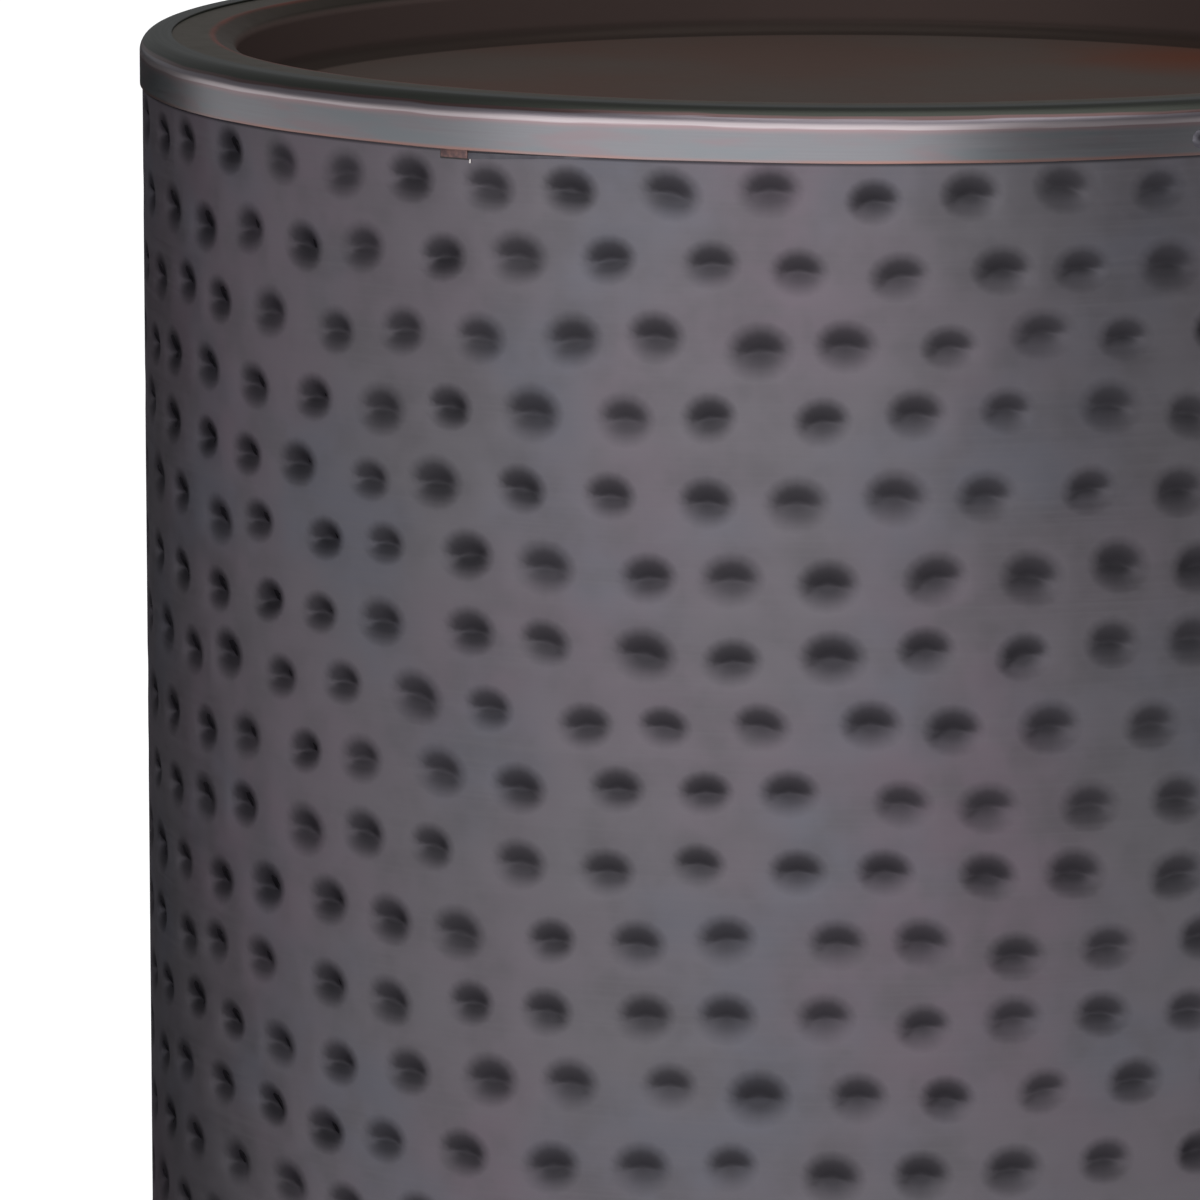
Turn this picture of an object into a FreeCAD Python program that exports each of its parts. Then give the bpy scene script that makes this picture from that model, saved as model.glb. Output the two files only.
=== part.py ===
"""Hammered drum side table: a rolled sheet drum with a sunk tray top, as separate pieces.

Millimetres, +Z up. The origin is on the floor under the middle of the drum and the front faces -Y.
Angles round the drum are in degrees from the front, positive towards +X.
"""
import FreeCAD, Part
import os
import Sketcher

# Driving dimensions: alias, size and meaning
DIMENSIONS = (
    ("overall_height", 460.0, "floor to the crest of the rim band"),
    ("shell_outer_radius", 199.3, "outer face of the rolled drum sheet"),
    ("shell_sheet", 1.0, "drum sheet thickness"),
    ("seam_gap", 0.4, "butt gap of the drum's upright seam"),
    ("fit_clearance", 0.1, "gap between nested round faces"),
    ("band_sheet", 0.6, "sheet thickness of the rim and base bands"),
    ("band_height", 14.2, "band from crest to free edge"),
    ("band_leg", 9.0, "band leg turned in at the crest"),
    ("band_bend_radius", 6.0, "outside radius of the band's crest"),
    ("tab_width", 8.5, "lap tab along the band"),
    ("tab_drop", 2.3, "lap tab below the band's free edge"),
    ("tab_proud", 0.3, "lap tab standing out of the band's face"),
    ("tab_angle", -31.3, "middle of the lap tab"),
    ("rivet_angle", 27.4, "first rivet"),
    ("rivet_count", 3, "rivets in each band"),
    ("rivet_diameter", 3.0, "rivet shank"),
    ("rivet_head_diameter", 5.0, "both rivet heads"),
    ("rivet_head_height", 0.8, "both rivet heads"),
    ("tray_sheet", 1.0, "tray sheet thickness"),
    ("tray_depth", 19.0, "tray ledge to tray floor"),
    ("ledge_width", 20.4, "band's outer face to the shoulder of the tray"),
    ("shoulder_width", 7.0, "sloped shoulder, measured level"),
    ("shoulder_drop", 3.0, "sloped shoulder, measured upright"),
    ("tray_bend_radius", 3.0, "upper radius of the two shoulder bends"),
    ("floor_bend_radius", 4.0, "upper radius between tray wall and floor"),
    ("ring_sheet", 2.0, "thickness of the angle rings"),
    ("ring_shoulder_gap", 2.0, "top ring's flange to the tray's shoulder, measured level"),
    ("base_flange_width", 28.0, "base ring's flange"),
    ("base_leg_height", 20.0, "base ring's upright leg"),
    ("bar_width", 25.0, "support bars"),
    ("bar_thickness", 4.0, "support bars"),
    ("bar_angle", 45.0, "direction of the lower support bar"),
    ("strip_width", 30.0, "seam strip along the drum's inside"),
    ("strip_sheet", 1.0, "seam strip thickness"),
    ("strip_end_gap", 2.0, "seam strip to the angle rings"),
    ("foot_height", 6.0, "floor to the base ring's flange"),
    ("foot_diameter", 18.0, "foot glide"),
    ("foot_round", 1.2, "rounding of the glide's lower edge"),
    ("screw_diameter", 4.0, "foot screw"),
    ("screw_head_diameter", 7.0, "foot screw's head"),
    ("screw_head_height", 2.6, "foot screw's head"),
    ("screw_head_sink", 0.6, "floor to the foot screw's head"),
    ("recess_gap", 0.5, "gap round the screw's head"),
    ("washer_diameter", 9.0, "foot washer"),
    ("washer_thickness", 0.8, "foot washer"),
    ("nut_width", 7.0, "foot nut across its flats"),
    ("nut_height", 3.2, "foot nut"),
    ("thread_end", 1.0, "screw standing out of the nut"),
)

# Feet by name, with their angles
FEET = (("front_right", 45), ("back_right", 135), ("back_left", 225), ("front_left", 315))

# Radii and heights worked out from the driving dimensions
RIM_CREST = "dims.overall_height"
RIM_FREE_EDGE = f"({RIM_CREST} - dims.band_height)"
BASE_CREST = "(dims.foot_height - dims.band_sheet)"
BASE_FREE_EDGE = f"({BASE_CREST} + dims.band_height)"
BAND_OUTER = "(dims.shell_outer_radius + dims.fit_clearance + dims.band_sheet)"
BAND_INNER = "(dims.shell_outer_radius + dims.fit_clearance)"
BAND_LEG_EDGE = f"({BAND_OUTER} - dims.band_leg)"
SHELL_INNER = "(dims.shell_outer_radius - dims.shell_sheet)"
SHELL_TOP = f"({RIM_CREST} - dims.band_bend_radius)"
SHELL_BOTTOM = f"({BASE_CREST} + dims.band_bend_radius)"
LEDGE_TOP = f"({RIM_CREST} - dims.band_sheet)"
LEDGE_UNDER = f"({LEDGE_TOP} - dims.tray_sheet)"
LEDGE_EDGE = f"({BAND_OUTER} - dims.band_bend_radius - dims.fit_clearance)"
SHOULDER_OUTER = f"({BAND_OUTER} - dims.ledge_width)"
TRAY_WALL = f"({SHOULDER_OUTER} - dims.shoulder_width)"
SHOULDER_LOW = f"({LEDGE_TOP} - dims.shoulder_drop)"
FLOOR_TOP = f"({LEDGE_TOP} - dims.tray_depth)"
FLOOR_UNDER = f"({FLOOR_TOP} - dims.tray_sheet)"
RING_OUTER = f"({SHELL_INNER} - dims.fit_clearance)"
RING_INNER = f"({RING_OUTER} - dims.ring_sheet)"
RING_BEND = "(dims.band_bend_radius - dims.band_sheet)"
TOP_FLANGE_EDGE = f"({SHOULDER_OUTER} + dims.ring_shoulder_gap)"
BASE_FLANGE_EDGE = f"({RING_OUTER} - dims.base_flange_width)"
BASE_FLANGE_TOP = "(dims.foot_height + dims.ring_sheet)"
BASE_LEG_TOP = "(dims.foot_height + dims.base_leg_height)"
RIVET_INSET = "((dims.band_bend_radius + dims.band_height) / 2)"
RIM_RIVET_HEIGHT = f"({RIM_CREST} - {RIVET_INSET})"
BASE_RIVET_HEIGHT = f"({BASE_CREST} + {RIVET_INSET})"
RIVET_HOLE_RADIUS = "(dims.rivet_diameter / 2 + dims.fit_clearance)"
BAR_UNDER = f"({FLOOR_UNDER} - dims.bar_thickness)"
BAR_MIDDLE = f"({FLOOR_UNDER} - dims.bar_thickness / 2)"
BAR_HALF_LENGTH = f"sqrt(({RING_OUTER} - dims.fit_clearance)^2 - (dims.bar_width / 2)^2)"
BAR_HALF_WIDTH = "(dims.bar_width / 2)"
NOTCH_HALF_WIDTH = "(dims.bar_width / 2 + dims.fit_clearance)"
FOOT_CIRCLE = f"(({BASE_FLANGE_EDGE} + {BAND_LEG_EDGE}) / 2)"
SCREW_RADIUS = "(dims.screw_diameter / 2)"
SCREW_HOLE_RADIUS = "(dims.screw_diameter / 2 + dims.fit_clearance)"
SCREW_HEAD_RADIUS = "(dims.screw_head_diameter / 2)"
RECESS_RADIUS = f"({SCREW_HEAD_RADIUS} + dims.recess_gap)"
RECESS_TOP = "(dims.screw_head_sink + dims.screw_head_height)"
WASHER_TOP = f"({BASE_FLANGE_TOP} + dims.washer_thickness)"
NUT_TOP = f"({WASHER_TOP} + dims.nut_height)"
SCREW_TOP = f"({NUT_TOP} + dims.thread_end)"

NEAR = 1e-4

doc = FreeCAD.newDocument("drum_side_table")
sheet = doc.addObject("Spreadsheet::Sheet", "dims")


def fill_sheet():
    """Writes each driving dimension to a cell with its alias."""
    for row, (alias, size, meaning) in enumerate(DIMENSIONS, start=1):
        sheet.set(f"A{row}", meaning)
        sheet.set(f"B{row}", str(size))
        sheet.setAlias(f"B{row}", alias)
    doc.recompute()


def value_of(expression):
    """Number that an expression of the sheet's dimensions gives."""
    return float(sheet.evalExpression(expression))


def origin_feature(body, role):
    """Plane or axis of a body's own origin."""
    return next(item for item in body.Origin.OriginFeatures if item.Role == role)


def new_body(label):
    """Empty body that will be written under this label."""
    body = doc.addObject("PartDesign::Body", label)
    body.Label = label
    return body


def new_sketch(body, name, plane="XZ_Plane", turn=None, shift=None):
    """Sketch on one of the body's origin planes.

    turn is a (plane axis, angle expression) pair, and shift holds expressions along the plane's x, y and z.
    """
    sketch = body.newObject("Sketcher::SketchObject", f"{body.Name}_{name}")
    sketch.AttachmentSupport = [(origin_feature(body, plane), "")]
    sketch.MapMode = "FlatFace"
    if turn:
        axis, angle = turn
        rotation = FreeCAD.Rotation(axis, value_of(angle))
        sketch.AttachmentOffset = FreeCAD.Placement(FreeCAD.Vector(), rotation)
        sketch.setExpression("AttachmentOffset.Rotation.Angle", angle)
    for direction, distance in (shift or {}).items():
        sketch.setExpression(f"AttachmentOffset.Base.{direction}", distance)
    return sketch


def pin_point(sketch, geometry, point, across, up):
    """Ties a point of a sketch to two expressions, measured from the sketch's origin."""
    for kind, expression, axis in (("DistanceX", across, -2), ("DistanceY", up, -1)):
        if expression == "0":
            sketch.addConstraint(Sketcher.Constraint("PointOnObject", geometry, point, axis))
            continue
        distance = Sketcher.Constraint(kind, -1, 1, geometry, point, value_of(expression))
        index = sketch.addConstraint(distance)
        sketch.setExpression(f"Constraints[{index}]", expression)


def draw_outline(sketch, corners):
    """Closed outline of straight edges through corners given as (across, up) expressions."""
    points = [FreeCAD.Vector(value_of(across), value_of(up), 0) for across, up in corners]
    count = len(points)
    for index, start in enumerate(points):
        sketch.addGeometry(Part.LineSegment(start, points[(index + 1) % count]), False)
    for index in range(count):
        sketch.addConstraint(Sketcher.Constraint("Coincident", index, 2, (index + 1) % count, 1))
    for index, (across, up) in enumerate(corners):
        pin_point(sketch, index, 1, across, up)


def draw_circle(sketch, across, up, radius):
    """Circle whose middle and radius are expressions."""
    middle = FreeCAD.Vector(value_of(across), value_of(up), 0)
    normal = FreeCAD.Vector(0, 0, 1)
    sketch.addGeometry(Part.Circle(middle, normal, value_of(radius)), False)
    pin_point(sketch, 0, 3, across, up)
    index = sketch.addConstraint(Sketcher.Constraint("Radius", 0, value_of(radius)))
    sketch.setExpression(f"Constraints[{index}]", radius)


def revolve(body, sketch, axis=None, arc=None):
    """Turns a sketch about the drum's axis, or about the given axis, wholly or over an arc each way."""
    turned = body.newObject("PartDesign::Revolution", f"{body.Name}_turned")
    turned.Profile = sketch
    turned.ReferenceAxis = axis or (origin_feature(body, "Z_Axis"), [""])
    turned.Angle = 360
    if arc:
        turned.Midplane = True
        turned.setExpression("Angle", arc)
    doc.recompute()
    return turned


def round_circle(body, radius, height, bend):
    """Rounds the circular edge at a radius and height of the body's last feature."""
    base = body.Tip
    names = []
    for index, edge in enumerate(base.Shape.Edges, start=1):
        if not isinstance(edge.Curve, Part.Circle):
            continue
        off_radius = abs(edge.Curve.Radius - value_of(radius))
        off_height = abs(edge.Curve.Center.z - value_of(height))
        if off_radius < NEAR and off_height < NEAR:
            names.append(f"Edge{index}")
    rounded = body.newObject("PartDesign::Fillet", f"{body.Name}_round")
    rounded.Base = (base, names)
    rounded.setExpression("Radius", bend)
    doc.recompute()


def pocket(body, sketch, depth, along_normal):
    """Cuts a sketch to a depth and checks that the cut took something away."""
    before = body.Tip.Shape.Volume
    cut = body.newObject("PartDesign::Pocket", f"{sketch.Name}_cut")
    cut.Profile = sketch
    cut.Reversed = along_normal
    cut.setExpression("Length", depth)
    doc.recompute()
    if cut.Shape.Volume > before - NEAR:
        raise RuntimeError(f"{cut.Name} cuts nothing")
    return cut


def repeat_round(body, feature, count):
    """Repeats a feature evenly round the drum's axis."""
    pattern = body.newObject("PartDesign::PolarPattern", f"{feature.Name}_round")
    pattern.Originals = [feature]
    pattern.Axis = (origin_feature(body, "Z_Axis"), [""])
    pattern.Angle = 360
    pattern.setExpression("Occurrences", count)
    body.Tip = pattern
    doc.recompute()


def drill_wall(body, name, height):
    """Drills the row of rivet holes through an upright wall at a height."""
    turn = (FreeCAD.Vector(0, 1, 0), "dims.rivet_angle")
    sketch = new_sketch(body, name, turn=turn)
    draw_circle(sketch, "0", height, RIVET_HOLE_RADIUS)
    hole = pocket(body, sketch, f"({BAND_OUTER} + dims.band_sheet)", along_normal=True)
    repeat_round(body, hole, "dims.rivet_count")


def angle_hoop(label, outer, leg_edge, thickness, bend, crest, free_edge, inward):
    """Hoop of angle section: a wall from free_edge to crest, with a leg turned in from the crest.

    inward is the sign that goes from the crest's outside into the hoop.
    """
    body = new_body(label)
    wall = f"({outer} - {thickness})"
    leg_face = f"({crest} {inward} {thickness})"
    corners = (
        (outer, free_edge),
        (outer, crest),
        (leg_edge, crest),
        (leg_edge, leg_face),
        (wall, leg_face),
        (wall, free_edge),
    )
    sketch = new_sketch(body, "section")
    draw_outline(sketch, corners)
    revolve(body, sketch)
    round_circle(body, outer, crest, bend)
    round_circle(body, wall, leg_face, f"max({bend} - {thickness}; dims.fit_clearance)")
    return body


def make_drum_shell():
    """Rolled drum sheet with its upright butt seam at the back and its rivet holes."""
    body = new_body("drum_shell")
    sketch = new_sketch(body, "section")
    corners = (
        (SHELL_INNER, SHELL_BOTTOM),
        ("dims.shell_outer_radius", SHELL_BOTTOM),
        ("dims.shell_outer_radius", SHELL_TOP),
        (SHELL_INNER, SHELL_TOP),
    )
    draw_outline(sketch, corners)
    revolve(body, sketch)
    seam = new_sketch(body, "seam")
    left = "(-dims.seam_gap / 2)"
    right = "(dims.seam_gap / 2)"
    below = f"({SHELL_BOTTOM} - dims.shell_sheet)"
    above = f"({SHELL_TOP} + dims.shell_sheet)"
    draw_outline(seam, ((left, below), (right, below), (right, above), (left, above)))
    pocket(body, seam, BAND_OUTER, along_normal=False)
    drill_wall(body, "rim_hole", RIM_RIVET_HEIGHT)
    drill_wall(body, "base_hole", BASE_RIVET_HEIGHT)
    return body


def make_seam_strip():
    """Curved backing strip behind the seam, between the two angle rings."""
    body = new_body("seam_strip")
    sketch = new_sketch(body, "section", plane="YZ_Plane")
    inner = f"({RING_OUTER} - dims.strip_sheet)"
    low = f"({BASE_LEG_TOP} + dims.strip_end_gap)"
    high = f"({FLOOR_UNDER} - dims.strip_end_gap)"
    draw_outline(sketch, ((inner, low), (RING_OUTER, low), (RING_OUTER, high), (inner, high)))
    revolve(body, sketch, arc=f"dims.strip_width / {RING_OUTER} * 180 / pi")
    return body


def make_rim_band():
    """Hoop over the tray's ledge and the drum's top edge."""
    body = angle_hoop(
        "rim_band", BAND_OUTER, BAND_LEG_EDGE, "dims.band_sheet", "dims.band_bend_radius",
        RIM_CREST, RIM_FREE_EDGE, "-",
    )
    drill_wall(body, "hole", RIM_RIVET_HEIGHT)
    return body


def make_base_band():
    """Matching hoop under the drum's bottom edge."""
    body = angle_hoop(
        "base_band", BAND_OUTER, BAND_LEG_EDGE, "dims.band_sheet", "dims.band_bend_radius",
        BASE_CREST, BASE_FREE_EDGE, "+",
    )
    drill_wall(body, "hole", BASE_RIVET_HEIGHT)
    return body


def make_top_ring():
    """Angle ring inside the drum's top edge, as deep as the tray it carries."""
    body = angle_hoop(
        "top_ring", RING_OUTER, TOP_FLANGE_EDGE, "dims.ring_sheet", RING_BEND,
        LEDGE_UNDER, FLOOR_UNDER, "-",
    )
    drill_wall(body, "hole", RIM_RIVET_HEIGHT)
    return body


def make_base_ring():
    """Angle ring inside the drum's bottom edge, with a screw hole for each foot."""
    body = angle_hoop(
        "base_ring", RING_OUTER, BASE_FLANGE_EDGE, "dims.ring_sheet", RING_BEND,
        "dims.foot_height", BASE_LEG_TOP, "+",
    )
    drill_wall(body, "rivet_hole", BASE_RIVET_HEIGHT)
    first_angle = FEET[0][1]
    across = f"{FOOT_CIRCLE} * sin({first_angle})"
    along = f"-{FOOT_CIRCLE} * cos({first_angle})"
    sketch = new_sketch(body, "foot_hole", plane="XY_Plane")
    draw_circle(sketch, across, along, SCREW_HOLE_RADIUS)
    hole = pocket(body, sketch, f"({BASE_FLANGE_TOP} + dims.fit_clearance)", along_normal=True)
    repeat_round(body, hole, str(len(FEET)))
    return body


def make_rim_lap_tab():
    """End of the rim band's lap, a short tongue under the band's free edge."""
    body = new_body("rim_lap_tab")
    sketch = new_sketch(body, "section", turn=(FreeCAD.Vector(0, 1, 0), "dims.tab_angle - 90"))
    outer = f"({BAND_OUTER} + dims.tab_proud)"
    low = f"({RIM_FREE_EDGE} - dims.tab_drop)"
    corners = ((BAND_INNER, low), (outer, low), (outer, RIM_FREE_EDGE), (BAND_INNER, RIM_FREE_EDGE))
    draw_outline(sketch, corners)
    revolve(body, sketch, arc=f"dims.tab_width / {BAND_OUTER} * 180 / pi")
    return body


def make_rivets(label, height):
    """Row of rivets through band, drum and angle ring, each with a head at both ends."""
    body = new_body(label)
    turn = (FreeCAD.Vector(0, 1, 0), "dims.rivet_angle - 90")
    sketch = new_sketch(body, "section", turn=turn, shift={"y": height})
    tail_seat = f"({RING_INNER} - dims.fit_clearance)"
    tail_end = f"({tail_seat} - dims.rivet_head_height)"
    head_end = f"({BAND_OUTER} + dims.rivet_head_height)"
    shank = "(dims.rivet_diameter / 2)"
    head = "(dims.rivet_head_diameter / 2)"
    corners = (
        (tail_end, "0"),
        (tail_end, head),
        (tail_seat, head),
        (tail_seat, shank),
        (BAND_OUTER, shank),
        (BAND_OUTER, head),
        (head_end, shank),
        (head_end, "0"),
    )
    draw_outline(sketch, corners)
    rivet = revolve(body, sketch, axis=(sketch, ["H_Axis"]))
    repeat_round(body, rivet, "dims.rivet_count")
    return body


def make_top_tray():
    """Pressed pan: level ledge, sloped shoulder, upright wall and floor, in one sheet."""
    body = new_body("top_tray")
    slope = "atan(dims.shoulder_drop / dims.shoulder_width)"
    ledge_corner = f"({SHOULDER_OUTER} + dims.tray_sheet * tan({slope} / 2))"
    wall_outside = f"({TRAY_WALL} + dims.tray_sheet)"
    wall_corner = f"({SHOULDER_LOW} - dims.tray_sheet * tan(45 deg - {slope} / 2))"
    corners = (
        (LEDGE_EDGE, LEDGE_UNDER),
        (LEDGE_EDGE, LEDGE_TOP),
        (SHOULDER_OUTER, LEDGE_TOP),
        (TRAY_WALL, SHOULDER_LOW),
        (TRAY_WALL, FLOOR_TOP),
        ("0", FLOOR_TOP),
        ("0", FLOOR_UNDER),
        (wall_outside, FLOOR_UNDER),
        (wall_outside, wall_corner),
        (ledge_corner, LEDGE_UNDER),
    )
    sketch = new_sketch(body, "section")
    draw_outline(sketch, corners)
    revolve(body, sketch)
    under_bend = "max(dims.tray_bend_radius - dims.tray_sheet; dims.fit_clearance)"
    round_circle(body, SHOULDER_OUTER, LEDGE_TOP, "dims.tray_bend_radius")
    round_circle(body, TRAY_WALL, SHOULDER_LOW, "dims.tray_bend_radius")
    round_circle(body, TRAY_WALL, FLOOR_TOP, "dims.floor_bend_radius")
    round_circle(body, ledge_corner, LEDGE_UNDER, under_bend)
    round_circle(body, wall_outside, wall_corner, under_bend)
    round_circle(body, wall_outside, FLOOR_UNDER, "dims.floor_bend_radius + dims.tray_sheet")
    return body


def make_support_bar(label, angle, notch_upwards):
    """Flat bar under the tray floor, halved where it crosses the other bar."""
    body = new_body(label)
    turn = (FreeCAD.Vector(0, 0, 1), angle)
    plan = new_sketch(body, "plan", plane="XY_Plane", turn=turn, shift={"z": BAR_UNDER})
    near = f"(-{BAR_HALF_LENGTH})"
    side = f"(-{BAR_HALF_WIDTH})"
    far = BAR_HALF_LENGTH
    draw_outline(plan, ((near, side), (far, side), (far, BAR_HALF_WIDTH), (near, BAR_HALF_WIDTH)))
    pad = body.newObject("PartDesign::Pad", f"{label}_pad")
    pad.Profile = plan
    pad.setExpression("Length", "dims.bar_thickness")
    doc.recompute()
    notch = new_sketch(body, "notch", plane="XY_Plane", turn=turn, shift={"z": BAR_MIDDLE})
    low = f"(-{NOTCH_HALF_WIDTH})"
    high = NOTCH_HALF_WIDTH
    draw_outline(notch, ((low, low), (high, low), (high, high), (low, high)))
    pocket(body, notch, "dims.bar_thickness", along_normal=notch_upwards)
    return body


def make_foot_glide(name, angle):
    """Moulded glide with a recess for its screw's head."""
    body = new_body(f"foot_glide_{name}")
    sketch = new_sketch(body, "section")
    outer = "(dims.foot_diameter / 2)"
    corners = (
        (RECESS_RADIUS, "0"),
        (outer, "0"),
        (outer, "dims.foot_height"),
        (SCREW_HOLE_RADIUS, "dims.foot_height"),
        (SCREW_HOLE_RADIUS, RECESS_TOP),
        (RECESS_RADIUS, RECESS_TOP),
    )
    draw_outline(sketch, corners)
    revolve(body, sketch)
    round_circle(body, outer, "0", "dims.foot_round")
    body.setExpression("Placement.Base.x", f"{FOOT_CIRCLE} * sin({angle})")
    body.setExpression("Placement.Base.y", f"-{FOOT_CIRCLE} * cos({angle})")
    return body


def make_turned_at_feet(label, corners):
    """One turned piece at each foot, from half of its upright section."""
    body = new_body(label)
    first_angle = FEET[0][1]
    shift = {"x": f"{FOOT_CIRCLE} * sin({first_angle})", "z": f"{FOOT_CIRCLE} * cos({first_angle})"}
    sketch = new_sketch(body, "section", shift=shift)
    draw_outline(sketch, corners)
    turned = revolve(body, sketch, axis=(sketch, ["V_Axis"]))
    repeat_round(body, turned, str(len(FEET)))
    return body


def make_foot_screws():
    """Pan head screws up through the glides."""
    corners = (
        ("0", "dims.screw_head_sink"),
        (SCREW_HEAD_RADIUS, "dims.screw_head_sink"),
        (SCREW_HEAD_RADIUS, RECESS_TOP),
        (SCREW_RADIUS, RECESS_TOP),
        (SCREW_RADIUS, SCREW_TOP),
        ("0", SCREW_TOP),
    )
    return make_turned_at_feet("foot_screws", corners)


def make_foot_washers():
    """Flat washers on the base ring's flange."""
    outer = "(dims.washer_diameter / 2)"
    corners = (
        (SCREW_HOLE_RADIUS, BASE_FLANGE_TOP),
        (outer, BASE_FLANGE_TOP),
        (outer, WASHER_TOP),
        (SCREW_HOLE_RADIUS, WASHER_TOP),
    )
    return make_turned_at_feet("foot_washers", corners)


def make_foot_nuts():
    """Hexagon nuts on the washers, grouped."""
    nuts = []
    for name, angle in FEET:
        block = doc.addObject("Part::Prism", f"nut_block_{name}")
        block.Polygon = 6
        block.setExpression("Circumradius", "dims.nut_width / (2 * cos(30))")
        bore = doc.addObject("Part::Cylinder", f"nut_bore_{name}")
        bore.setExpression("Radius", SCREW_HOLE_RADIUS)
        for item in (block, bore):
            item.setExpression("Height", "dims.nut_height")
            item.setExpression("Placement.Base.x", f"{FOOT_CIRCLE} * sin({angle})")
            item.setExpression("Placement.Base.y", f"-{FOOT_CIRCLE} * cos({angle})")
            item.setExpression("Placement.Base.z", WASHER_TOP)
        nut = doc.addObject("Part::Cut", f"nut_{name}")
        nut.Base = block
        nut.Tool = bore
        nuts.append(nut)
    group = doc.addObject("Part::Compound", "foot_nuts")
    group.Label = "foot_nuts"
    group.Links = nuts
    doc.recompute()
    return group


def check_pieces(pieces):
    """Stops if any object failed or any piece has no valid solid."""
    for item in doc.Objects:
        if "Invalid" in item.State or "Error" in item.State:
            raise RuntimeError(f"{item.Name} failed: {item.State}")
    for piece in pieces:
        if piece.Shape.isNull() or not piece.Shape.isValid() or not piece.Shape.Solids:
            raise RuntimeError(f"{piece.Label} has no valid solid")


def main():
    """Builds every piece, checks them and writes one STEP file for each."""
    fill_sheet()
    pieces = [
        make_drum_shell(),
        make_seam_strip(),
        make_rim_band(),
        make_rim_lap_tab(),
        make_rivets("rim_rivets", RIM_RIVET_HEIGHT),
        make_top_tray(),
        make_top_ring(),
        make_support_bar("support_bar_lower", "dims.bar_angle", notch_upwards=True),
        make_support_bar("support_bar_upper", "dims.bar_angle + 90", notch_upwards=False),
        make_base_band(),
        make_base_ring(),
        make_rivets("base_rivets", BASE_RIVET_HEIGHT),
    ]
    pieces += [make_foot_glide(name, angle) for name, angle in FEET]
    pieces += [make_foot_screws(), make_foot_washers(), make_foot_nuts()]
    doc.recompute()
    check_pieces(pieces)
    os.makedirs("parts", exist_ok=True)
    for piece in pieces:
        piece.Shape.exportStep(os.path.join("parts", f"{piece.Label}.step"))
        print(f"{piece.Label}: {len(piece.Shape.Solids)} solids, {piece.Shape.Volume:.1f} mm3")


main()
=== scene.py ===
"""Looks of a hammered metal drum side table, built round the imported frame.

Metres, +Z up. The drum's axis is Z, the front faces -Y, and angles round the drum are in degrees from the
front, positive towards +X.
"""

import logging
import math
import random
from dataclasses import dataclass
from enum import Enum
from functools import partial
from typing import Callable, Sequence

import bmesh
import bpy
import numpy as np
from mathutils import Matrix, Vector


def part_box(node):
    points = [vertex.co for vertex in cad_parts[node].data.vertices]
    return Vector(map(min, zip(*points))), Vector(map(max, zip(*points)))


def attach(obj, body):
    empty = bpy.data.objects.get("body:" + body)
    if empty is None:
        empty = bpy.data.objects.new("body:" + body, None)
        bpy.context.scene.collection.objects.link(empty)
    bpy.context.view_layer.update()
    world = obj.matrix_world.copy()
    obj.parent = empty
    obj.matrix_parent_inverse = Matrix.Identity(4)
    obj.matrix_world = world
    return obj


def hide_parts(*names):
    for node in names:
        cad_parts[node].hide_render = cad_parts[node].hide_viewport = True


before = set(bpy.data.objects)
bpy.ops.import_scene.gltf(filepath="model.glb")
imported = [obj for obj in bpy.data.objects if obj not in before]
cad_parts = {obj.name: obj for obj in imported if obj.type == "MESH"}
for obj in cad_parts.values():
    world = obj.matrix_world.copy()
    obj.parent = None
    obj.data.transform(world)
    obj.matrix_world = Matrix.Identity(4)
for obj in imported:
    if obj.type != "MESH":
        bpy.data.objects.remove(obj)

log = logging.getLogger("drum_side_table")

MM = 0.001
FULL_TURN = 2 * math.pi
BODY = "root"
GRIME_ATTRIBUTE = "grime"

# Points closer than this are one point: on spun pieces, and at the corners of the drum sheet's cells
SAME_POINT = MM / 100
SAME_CORNER = MM / 20
# A point this close to an edge lies on it
NEAR = MM / 10
# A point past this share of a distance lies at its end
AT_END = 0.998
# Edges sharper than this stay crisp: on plain pieces, and on the dented drum and the domed rivets
CRISP_FROM = 40.0
DOMED_CRISP_FROM = 50.0

# A point of a section is its radius and height
Point = tuple[float, float]
Pair = tuple[float, float]
Colour = tuple[float, float, float, float]


class End(Enum):
    """Which end of the drum a hoop closes."""

    RIM = "rim"
    BASE = "base"


# Colours and nodes

# A step reads a pattern between two values and gives the share of a colour at each of them
STEP_INPUTS = ("Value", "From Min", "From Max", "To Min", "To Max")


def linear(code: str) -> Colour:
    """Turns an sRGB hex colour into linear red, green, blue and alpha.

    Args:
        code: Six hex digits after a hash mark.

    Returns:
        The four linear values.
    """
    shares = [int(code[start:start + 2], 16) / 255 for start in (1, 3, 5)]
    red, green, blue = (s / 12.92 if s <= 0.04045 else ((s + 0.055) / 1.055) ** 2.4 for s in shares)
    return red, green, blue, 1.0


def per_metre(size_mm: float) -> float:
    """Scale of a pattern whose marks are this many millimetres apart."""
    return 1 / (size_mm * MM)


def add_node(tree: bpy.types.NodeTree, kind: str, inputs: dict | None = None, output: str | int = 0,
             **settings: object) -> bpy.types.NodeSocket | None:
    """Adds a shader node with its settings, and fills or links its inputs.

    Args:
        tree: Node tree that gets the node.
        kind: Blender's name of the node type, after the word ShaderNode.
        inputs: Input names or numbers, each with a value or an output to link.
        output: Name or number of the output that is wanted.
        settings: Properties of the node and their values.

    Returns:
        The wanted output, or None from a node that has none.
    """
    node = tree.nodes.new(f"ShaderNode{kind}")
    for name, value in settings.items():
        setattr(node, name, value)
    for name, value in (inputs or {}).items():
        if isinstance(value, bpy.types.NodeSocket):
            tree.links.new(value, node.inputs[name])
        else:
            node.inputs[name].default_value = value
    return node.outputs[output] if node.outputs else None


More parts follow.
